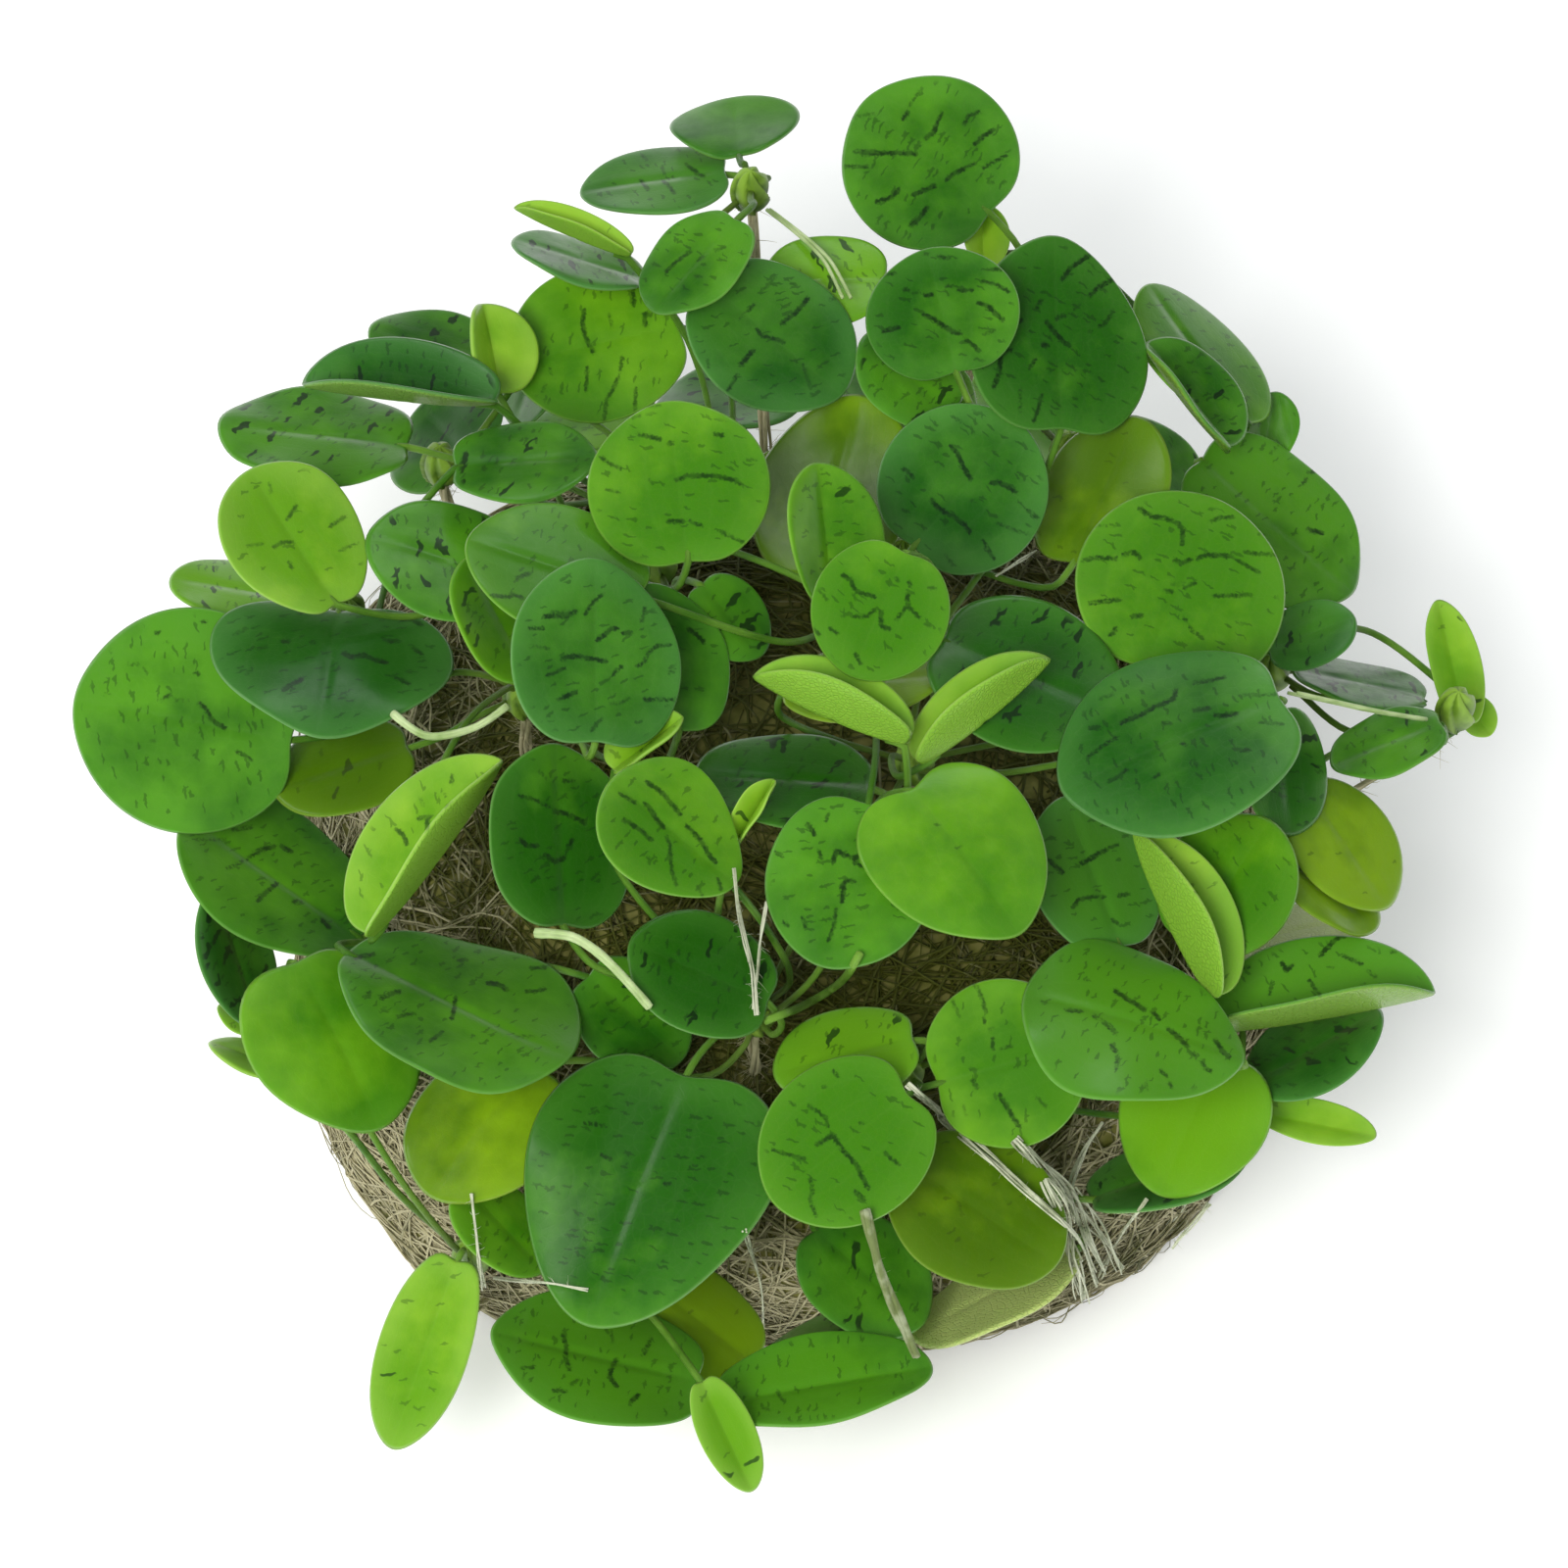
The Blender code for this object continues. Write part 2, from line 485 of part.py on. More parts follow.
class Obstacle:
    def __init__(self, owner, points, faces):
        self.owner = owner
        self.tree = BVHTree.FromPolygons(points, faces)
        self.low = Vector([min(point[axis] for point in points) for axis in range(3)])
        self.high = Vector([max(point[axis] for point in points) for axis in range(3)])

    def apart(self, other):
        for axis in range(3):
            if self.low[axis] > other.high[axis] or other.low[axis] > self.high[axis]:
                return True
        return False

    def hits(self, others, but=()):
        for other in others:
            if other.owner in but or self.apart(other):
                continue
            if self.tree.overlap(other.tree):
                return True
        return False


class Sight:
    """What the eye sees of the blades, before any stalk is drawn."""

    def __init__(self, leaves, root_shape):
        points, faces = [], []
        for shape in [blade_shape(leaf, 0.0) for leaf in leaves] + [root_shape]:
            first = len(points)
            points += shape[0]
            faces += [tuple(first + number for number in face) for face in shape[1]]
        self.tree = BVHTree.FromPolygons(points, faces)
        self.blade_faces = len(faces) - len(root_shape[1])

    def hidden(self, path):
        """How many places of a path lie behind the blades."""
        return sum(self.tree.ray_cast(place, (EYE - place).normalized())[0] is not None for place in path)

    def crossings(self, path):
        """How many places of a path stand out over a blade, or past the edge of the whole clump."""
        places = path[1:] + [(here + after) / 2 for here, after in zip(path[:-1], path[1:])]
        count = 0
        for place in places:
            toward_eye = (EYE - place).normalized()
            if self.tree.ray_cast(place, toward_eye)[0]:
                continue
            face = self.tree.ray_cast(place, -toward_eye)[2]
            if face is None or face < self.blade_faces:
                count += 1
        return count


# The root mass

def root_shape():
    points = []
    faces = []
    for level, (height, share) in enumerate(ROOT_PROFILE):
        for segment in range(ROOT_SEGMENTS):
            angle = 2 * math.pi * segment / ROOT_SEGMENTS
            cosine, sine = math.cos(angle), math.sin(angle)
            reach = (abs(cosine) ** ROOT_SQUARENESS + abs(sine) ** ROOT_SQUARENESS) ** (-1 / ROOT_SQUARENESS)
            lump = math.sin(5 * angle + 0.5 * level) + math.sin(8 * angle - 0.8 * level + 1.0)
            radius = reach * share * (1 + ROOT_LUMP * lump / 2)
            rise = ROOT_WAVE * math.sin(4 * angle + level) if 0 < level else 0.0
            points.append(Vector((
                ROOT_HALF_WIDTH * radius * cosine,
                ROOT_HALF_DEPTH * radius * sine,
                height + rise * share,
            )))
    for level in range(len(ROOT_PROFILE) - 1):
        low = level * ROOT_SEGMENTS
        for segment in range(ROOT_SEGMENTS):
            after = (segment + 1) % ROOT_SEGMENTS
            faces.append((low + segment, low + after, low + ROOT_SEGMENTS + after))
            faces.append((low + segment, low + ROOT_SEGMENTS + after, low + ROOT_SEGMENTS + segment))
    top_ring = (len(ROOT_PROFILE) - 1) * ROOT_SEGMENTS
    top = len(points)
    points.append(Vector((0.0, 0.0, ROOT_TOP)))
    for segment in range(ROOT_SEGMENTS):
        faces.append((top_ring + segment, top_ring + (segment + 1) % ROOT_SEGMENTS, top))
    faces.append(tuple(reversed(range(ROOT_SEGMENTS))))
    return points, faces


# Crowns

def crown_shape(middle, extra_gap=0.0):
    scale = Matrix.Diagonal((1.0, 1.0, CROWN_HEIGHT_SHARE, 1.0))
    mesh = bmesh.new()
    bmesh.ops.create_icosphere(mesh, subdivisions=1, radius=CROWN_RADIUS + extra_gap, matrix=scale)
    points = [vertex.co + middle for vertex in mesh.verts]
    faces = [tuple(vertex.index for vertex in face.verts) for face in mesh.faces]
    mesh.free()
    return points, faces


class Crown:
    def __init__(self, name, place, height):
        self.name = name
        self.owner = "crown_" + name
        self.place = place
        self.depth = depth_at_height(place, height)
        self.middle = from_sheet(place, self.depth)
        self.small_leaves = []

    def surface(self, direction, beyond):
        """Point on the line from the crown's middle, the given distance past its surface."""
        direction = direction.normalized()
        stretch = math.sqrt(direction.x**2 + direction.y**2 + (direction.z / CROWN_HEIGHT_SHARE) ** 2)
        return self.middle + direction * (CROWN_RADIUS / stretch + beyond)


# Objects

def finish(kind):
    name = f"{kind}_surface"
    material = bpy.data.materials.get(name)
    if material is None:
        colour, roughness = FINISHES[kind]
        material = bpy.data.materials.new(name)
        material.use_nodes = True
        shader = material.node_tree.nodes["Principled BSDF"]
        shader.inputs["Base Color"].default_value = (*colour, 1.0)
        shader.inputs["Roughness"].default_value = roughness
        shader.inputs["Metallic"].default_value = 0.0
        material.diffuse_color = (*colour, 1.0)
    return material


def build_object(name, points, faces, kind, parent):
    work = bmesh.new()
    vertices = [work.verts.new(point * MM) for point in points]
    for face in faces:
        work.faces.new([vertices[number] for number in face])
    bmesh.ops.recalc_face_normals(work, faces=work.faces)
    if work.calc_volume(signed=True) < 0:
        bmesh.ops.reverse_faces(work, faces=work.faces)
    bmesh.ops.triangulate(work, faces=[face for face in work.faces if len(face.verts) == 4])
    mesh = bpy.data.meshes.new(name)
    work.to_mesh(mesh)
    work.free()
    mesh.shade_smooth()
    mesh.set_sharp_from_angle(angle=SHARP_ANGLE)
    mesh.materials.append(finish(kind))
    built = bpy.data.objects.new(name, mesh)
    bpy.context.scene.collection.objects.link(built)
    built.parent = parent
    return built


def join_solids(target, others):
    """Boolean unions of small pieces with what they grow from."""
    for number, other in enumerate(others):
        union = target.modifiers.new(f"grown_on_{number}", "BOOLEAN")
        union.operation = "UNION"
        union.solver = "EXACT"
        union.object = other
        other.hide_render = True
        other.display_type = "WIRE"


# Placing

def stub_shape(leaf, extra_gap):
    """The first stretch of a leaf's stalk, kept free while the leaves are placed."""
    root = leaf.root()
    end = root + (-leaf.axis - leaf.face * STALK_DIP).normalized() * STUB_LENGTH
    return tube_shape([root, (root + end) / 2, end], leaf.side, STALK_HALF_WIDTH + extra_gap)


def depth_cells(points, faces):
    """The cells of the sheet that a closed shape covers, each with its front and back depth."""
    places = [to_sheet(point) for point in points]
    tree = BVHTree.FromPolygons(places, faces)
    cells = {}
    toward = Vector((0, 0, 1))
    across = [place.x / CELL for place in places]
    down = [place.y / CELL for place in places]
    for column in range(math.floor(min(across)), math.ceil(max(across))):
        for row in range(math.floor(min(down)), math.ceil(max(down))):
            middle = Vector(((column + 0.5) * CELL, (row + 0.5) * CELL, 0))
            front = tree.ray_cast(middle + toward * 200, -toward)[0]
            back = tree.ray_cast(middle - toward * 200, toward)[0]
            if front is not None and back is not None:
                cells[column, row] = (front.z, back.z)
    return cells


def layer_blades(leaves, root_cells):
    """Evens out the depths until each leaf lies behind those above it and before the root mass."""
    shapes = [depth_cells(*blade_shape(leaf, GAP)) for leaf in leaves]
    pairs = []
    for upper in range(len(leaves)):
        for lower in range(upper + 1, len(leaves)):
            shared = shapes[upper].keys() & shapes[lower].keys()
            if len(shared) >= LEAST_SHARED:
                needed = max(shapes[lower][cell][0] - shapes[upper][cell][1] for cell in sorted(shared))
                pairs.append((upper, lower, needed))
    moves = [0.0] * len(leaves)
    lowest = []
    for shape in shapes:
        shared = shape.keys() & root_cells.keys()
        lowest.append(max([root_cells[cell][0] - shape[cell][1] for cell in shared], default=-math.inf))
    for _ in range(EVENING_ROUNDS):
        for upper, lower, needed in pairs:
            short = needed - (moves[upper] - moves[lower])
            if short > 0:
                moves[upper] += short * UPPER_SHARE
                moves[lower] -= short * (1 - UPPER_SHARE)
        for number, limit in enumerate(lowest):
            moves[number] = max(moves[number], limit)
    for number, leaf in enumerate(leaves):
        leaf.start_depth += moves[number]


def settle_leaves(leaves, obstacles):
    """Tucks each leaf behind those above it, along the line of sight, until it lies clear."""
    for leaf in leaves:
        for step in range(PUSH_STEPS):
            leaf.depth = leaf.start_depth - step * PUSH_STEP
            blade = Obstacle(leaf.name, *blade_shape(leaf, GAP))
            stub = Obstacle(leaf.name, *stub_shape(leaf, GAP))
            if not blade.hits(obstacles) and not stub.hits(obstacles):
                break
        else:
            print("no room for leaf", leaf.name)
        obstacles.append(Obstacle(leaf.name, *blade_shape(leaf, 0.0)))
        obstacles.append(Obstacle(leaf.name, *stub_shape(leaf, 0.0)))


def settle_crowns(crowns, obstacles):
    """Moves each crown up or down its line of sight, the least that lays it clear."""
    for crown in crowns:
        start = crown.depth
        for step in range(CROWN_STEPS):
            crown.depth = start + (step // 2) * PUSH_STEP * (1 if step % 2 else -1)
            crown.middle = from_sheet(crown.place, crown.depth)
            trial = Obstacle(crown.owner, *crown_shape(crown.middle, GAP + ROUNDING))
            if not trial.hits(obstacles):
                break
        else:
            print("no room for crown", crown.name)
        obstacles.append(Obstacle(crown.owner, *crown_shape(crown.middle)))


def strand_paths(crown, root_tree):
    """Ways for a crown's root strand down to the root mass, the straightest first."""
    start = crown.middle + DOWN * CROWN_RADIUS * STRAND_START
    for reach in STRAND_REACHES:
        for drop in STRAND_DROPS:
            for step in range(STRAND_HEADINGS if reach else 1):
                angle = 2 * math.pi * step / STRAND_HEADINGS
                aside = Vector((math.cos(angle), math.sin(angle), 0)) * reach
                landing, normal, _, _ = root_tree.find_nearest(crown.middle + aside + DOWN * drop)
                end = landing + normal * STRAND_CLEARANCE
                start_pull = start + DOWN * STRAND_PULL
                end_pull = end + normal * STRAND_PULL
                yield bezier(start, start_pull, end_pull, end, STALK_SEGMENTS)


def grow_strands(crowns, obstacles, root_tree):
    strands = {}
    for crown in crowns:
        for path in strand_paths(crown, root_tree):
            trial = Obstacle(crown.owner, *tube_shape(path, SIDEWAYS, STRAND_HALF_WIDTH + GAP, STRAND_TAPER))
            if not trial.hits(obstacles, but=(crown.owner,)):
                break
        else:
            print("no way for strand", crown.name)
        shape = tube_shape(path, SIDEWAYS, STRAND_HALF_WIDTH, STRAND_TAPER)
        obstacles.append(Obstacle(crown.owner + "_strand", *shape))
        strands[crown.name] = shape
    return strands


def stalk_paths(leaf, crowns, inside):
    """Ways for a leaf's stalk from its blade to a crown, the nearest crown first."""
    root = leaf.root()
    behind = -leaf.axis

    def effort(crown):
        way = crown.middle - root
        straight = way.normalized().dot((behind + DOWN * STALK_FALL).normalized())
        return way.length * (1 + STALK_STRAIGHTNESS * (1 - straight))

    choices = [crown for crown in crowns if leaf.crown in (None, crown.name)]
    for crown in sorted(choices, key=effort)[:STALK_CROWNS]:
        way = crown.middle - root
        flat = Vector((root.x - crown.middle.x, root.y - crown.middle.y, 0))
        heading = math.atan2(flat.y, flat.x)
        for start_pull in STALK_PULLS:
            for dip in STALK_DIPS:
                for swing in STALK_SWINGS:
                    for rise in STALK_RISES:
                        angle = heading + math.radians(swing)
                        leaving = Vector((math.cos(angle), math.sin(angle), rise)).normalized()
                        end = crown.surface(leaving, -STALK_SINK if inside else GAP + ROUNDING / 2)
                        pull = max(way.length * start_pull, STUB_LENGTH)
                        first = root + behind * pull - leaf.face * (pull * (STALK_DIP + dip))
                        last = end + leaving * max(way.length * STALK_ARRIVAL, STUB_LENGTH)
                        segments = SMALL_STALK_SEGMENTS if inside else STALK_SEGMENTS
                        yield crown, bezier(root, first, last, end, segments)


def stalk_shape(leaf, path, extra_gap):
    rings = tube_rings(path, leaf.side, STALK_HALF_WIDTH + extra_gap, STALK_TAPER)
    corners = base_corners(leaf, extra_gap)
    rings[0] = [corners[number] for number in BASE_RING]
    return capped(rings)


def grow_stalk(leaf, crowns, obstacles, sight, inside):
    """Of the first clear ways, the one that stands out the least over other blades."""
    blade = Obstacle(leaf.name, *blade_shape(leaf, 0.0))
    best = None
    tried = {}
    for crown, path in stalk_paths(leaf, crowns, inside):
        if tried.get(crown.name, 0) == STALK_CHOICES or min(point.z for point in path) < STALK_LOWEST:
            continue
        trial = Obstacle(leaf.name, *stalk_shape(leaf, path, GAP))
        if trial.hits(obstacles, but=(leaf.name, crown.owner)):
            continue
        free_tube = tube_shape(path[1:], leaf.side, STALK_HALF_WIDTH + ROUNDING / 2, STALK_TAPER)
        free_part = Obstacle(leaf.name, *free_tube)
        if free_part.hits([blade]):
            continue
        core = Obstacle(crown.owner, *crown_shape(crown.middle))
        if not inside and free_part.hits([core]):
            continue
        length = sum((after - here).length for here, after in zip(path[:-1], path[1:]))
        fault = sight.crossings(path) + max(0.0, length - STALK_LENGTH) / STALK_EXCESS
        if best is None or fault < best[0]:
            best = (fault, crown, path)
        tried[crown.name] = tried.get(crown.name, 0) + 1
        if fault == 0 or sum(tried.values()) == ALL_STALK_CHOICES:
            break
    if best is None:
        return None, None
    return best[1:]


def leaf_shape(leaf, path):
    """The blade with its stalk drawn out of the small square face at its base."""
    points, faces = blade_shape(leaf, 0.0)
    rings = tube_rings(path, leaf.side, STALK_HALF_WIDTH, STALK_TAPER)[1:]
    faces = faces[1:]
    start = len(points)
    points = points + [point for ring in rings for point in ring]
    for corner in range(4):
        after = (corner + 1) % 4
        faces.append((BASE_RING[corner], BASE_RING[after], start + after, start + corner))
    faces += tube_faces(rings, start)
    last = len(points) - 4
    faces.append((last, last + 1, last + 2, last + 3))
    return points, faces


def runner_path(places, behind, shift):
    """A smooth line through the places, each at its own depth in the dome."""
    knots = [from_sheet(place, dome_depth(place) - behind - shift) for place in places]
    knots = [knots[0] * 2 - knots[1]] + knots + [knots[-1] * 2 - knots[-2]]
    path = []
    for number in range(1, len(knots) - 2):
        before, start, end, after = knots[number - 1:number + 3]
        for half in (0.0, 0.5):
            path.append(start + (end - before) * (half * 0.5) * (1 - half)**2
                        + (end - start) * (3 * half**2 - 2 * half**3)
                        - (after - start) * (half**2 * 0.5) * (1 - half))
    path.append(knots[-2])
    return path


def settle_runner(name, half, places, behind, obstacles, sight):
    """The clear way along the places that shows the most, the one least moved among equals."""
    best = None
    for step in range(RUNNER_STEPS):
        shift = ((step + 1) // 2) * RUNNER_STEP * (1 if step % 2 else -1)
        path = runner_path(places, behind, shift)
        trial = Obstacle(name, *tube_shape(path, TOWARD, half + GAP))
        if trial.hits(obstacles):
            continue
        count = sight.hidden(path)
        if best is None or count < best[0]:
            best = (count, path)
    if best is None:
        print("no room for runner", name)
        best = (0, path)
    shape = tube_shape(best[1], TOWARD, half)
    obstacles.append(Obstacle(name, *shape))
    return shape


def main():
    for old in list(bpy.data.objects):
        bpy.data.objects.remove(old, do_unlink=True)
    clump = bpy.data.objects.new("clump", None)
    bpy.context.scene.collection.objects.link(clump)

    root_points, root_faces = root_shape()
    build_object("root_mass", root_points, root_faces, "root", clump)
    root_obstacle = Obstacle("root_mass", root_points, root_faces)
    obstacles = [root_obstacle]

    leaves = [Leaf(*entry) for entry in LEAVES]
    layer_blades(leaves, depth_cells(root_points, root_faces))
    leaves += [Leaf(*entry) for entry in REAR_LEAVES]
    crowns = [Crown(*entry) for entry in CROWNS]
    settle_leaves(leaves, obstacles)
    sight = Sight(leaves, (root_points, root_faces))
    settle_crowns(crowns, obstacles)
    strands = grow_strands(crowns, obstacles, root_obstacle.tree)

    by_size = sorted(leaves, key=lambda leaf: leaf.area(), reverse=True)
    separate = {leaf.name for leaf in by_size[:SEPARATE_LEAVES]}
    lost = 0
    for leaf in leaves:
        inside = leaf.name not in separate
        crown, path = grow_stalk(leaf, crowns, obstacles, sight, inside)
        if crown is None:
            print("no way for stalk", leaf.name)
            lost += 1
            continue
        obstacles.append(Obstacle(leaf.name + "_stalk", *stalk_shape(leaf, path, 0.0)))
        points, faces = leaf_shape(leaf, path)
        if inside:
            crown.small_leaves.append(build_object("grown_" + leaf.name, points, faces, leaf.kind, clump))
        else:
            build_object("leaf_" + leaf.name, points, faces, leaf.kind, clump)
    print("leaves without a stalk:", lost)

    for crown in crowns:
        points, faces = crown_shape(crown.middle)
        plant = build_object("plant_" + crown.name, points, faces, "crown", clump)
        strand = build_object("strand_" + crown.name, *strands[crown.name], "root", clump)
        join_solids(plant, [strand] + crown.small_leaves)

    for name, half, places, behind in RUNNERS:
        points, faces = settle_runner(name, half, places, behind, obstacles, sight)
        build_object("runner_" + name, points, faces, "runner", clump)


main()
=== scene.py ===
import math
import random

import bmesh
import bpy
import numpy as np
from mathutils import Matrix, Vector, noise
from mathutils.bvhtree import BVHTree


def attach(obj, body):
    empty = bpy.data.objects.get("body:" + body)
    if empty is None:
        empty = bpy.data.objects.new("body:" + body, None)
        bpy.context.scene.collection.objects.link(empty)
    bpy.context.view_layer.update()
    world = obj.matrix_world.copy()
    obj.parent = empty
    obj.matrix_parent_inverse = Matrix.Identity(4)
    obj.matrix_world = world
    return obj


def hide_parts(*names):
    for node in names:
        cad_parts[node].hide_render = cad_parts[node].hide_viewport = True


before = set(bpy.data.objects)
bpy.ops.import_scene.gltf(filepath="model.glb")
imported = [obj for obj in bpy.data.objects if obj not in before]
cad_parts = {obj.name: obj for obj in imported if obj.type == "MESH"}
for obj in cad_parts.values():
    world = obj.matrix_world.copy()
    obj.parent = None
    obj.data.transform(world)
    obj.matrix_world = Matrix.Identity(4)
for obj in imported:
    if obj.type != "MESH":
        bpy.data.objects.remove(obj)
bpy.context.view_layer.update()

mm = 0.001

# How the clump is looked at: the places in the tables below are millimetres on a sheet
# that is square to the line of sight, X from its left edge and Y from its top
sight = {
    "elevation": 60.0,  # degrees that the camera looks down
    "distance": 800.0,  # from the camera to the middle of the clump
    "sheet": 160.0,     # width of the view there
    "height": 34.0,     # of that middle above the floor
}
tilt = math.radians(sight["elevation"])
aim = np.array((0.0, 0.0, sight["height"]))
sideways = np.array((1.0, 0.0, 0.0))
toward = np.array((0.0, -math.cos(tilt), math.sin(tilt)))
upward = np.array((0.0, math.sin(tilt), math.cos(tilt)))
eye = aim + toward * sight["distance"]
sheetHalf = sight["sheet"] / 2


def fromSheet(place, depth):  # the point seen at a place, depth toward the viewer
    shrink = 1 - depth / sight["distance"]
    return (aim + sideways * (place[0] - sheetHalf) * shrink + upward * (sheetHalf - place[1]) * shrink
            + toward * depth)


def toSheet(points):  # the places where points are seen
    offAim = points - aim
    shrink = 1 - offAim @ toward / sight["distance"]
    return np.stack((sheetHalf + offAim @ sideways / shrink, sheetHalf - offAim @ upward / shrink), axis=1)


def sightRay(place):
    return fromSheet(place, 1) - fromSheet(place, 0)


def unit(vector):
    return vector / np.linalg.norm(vector)


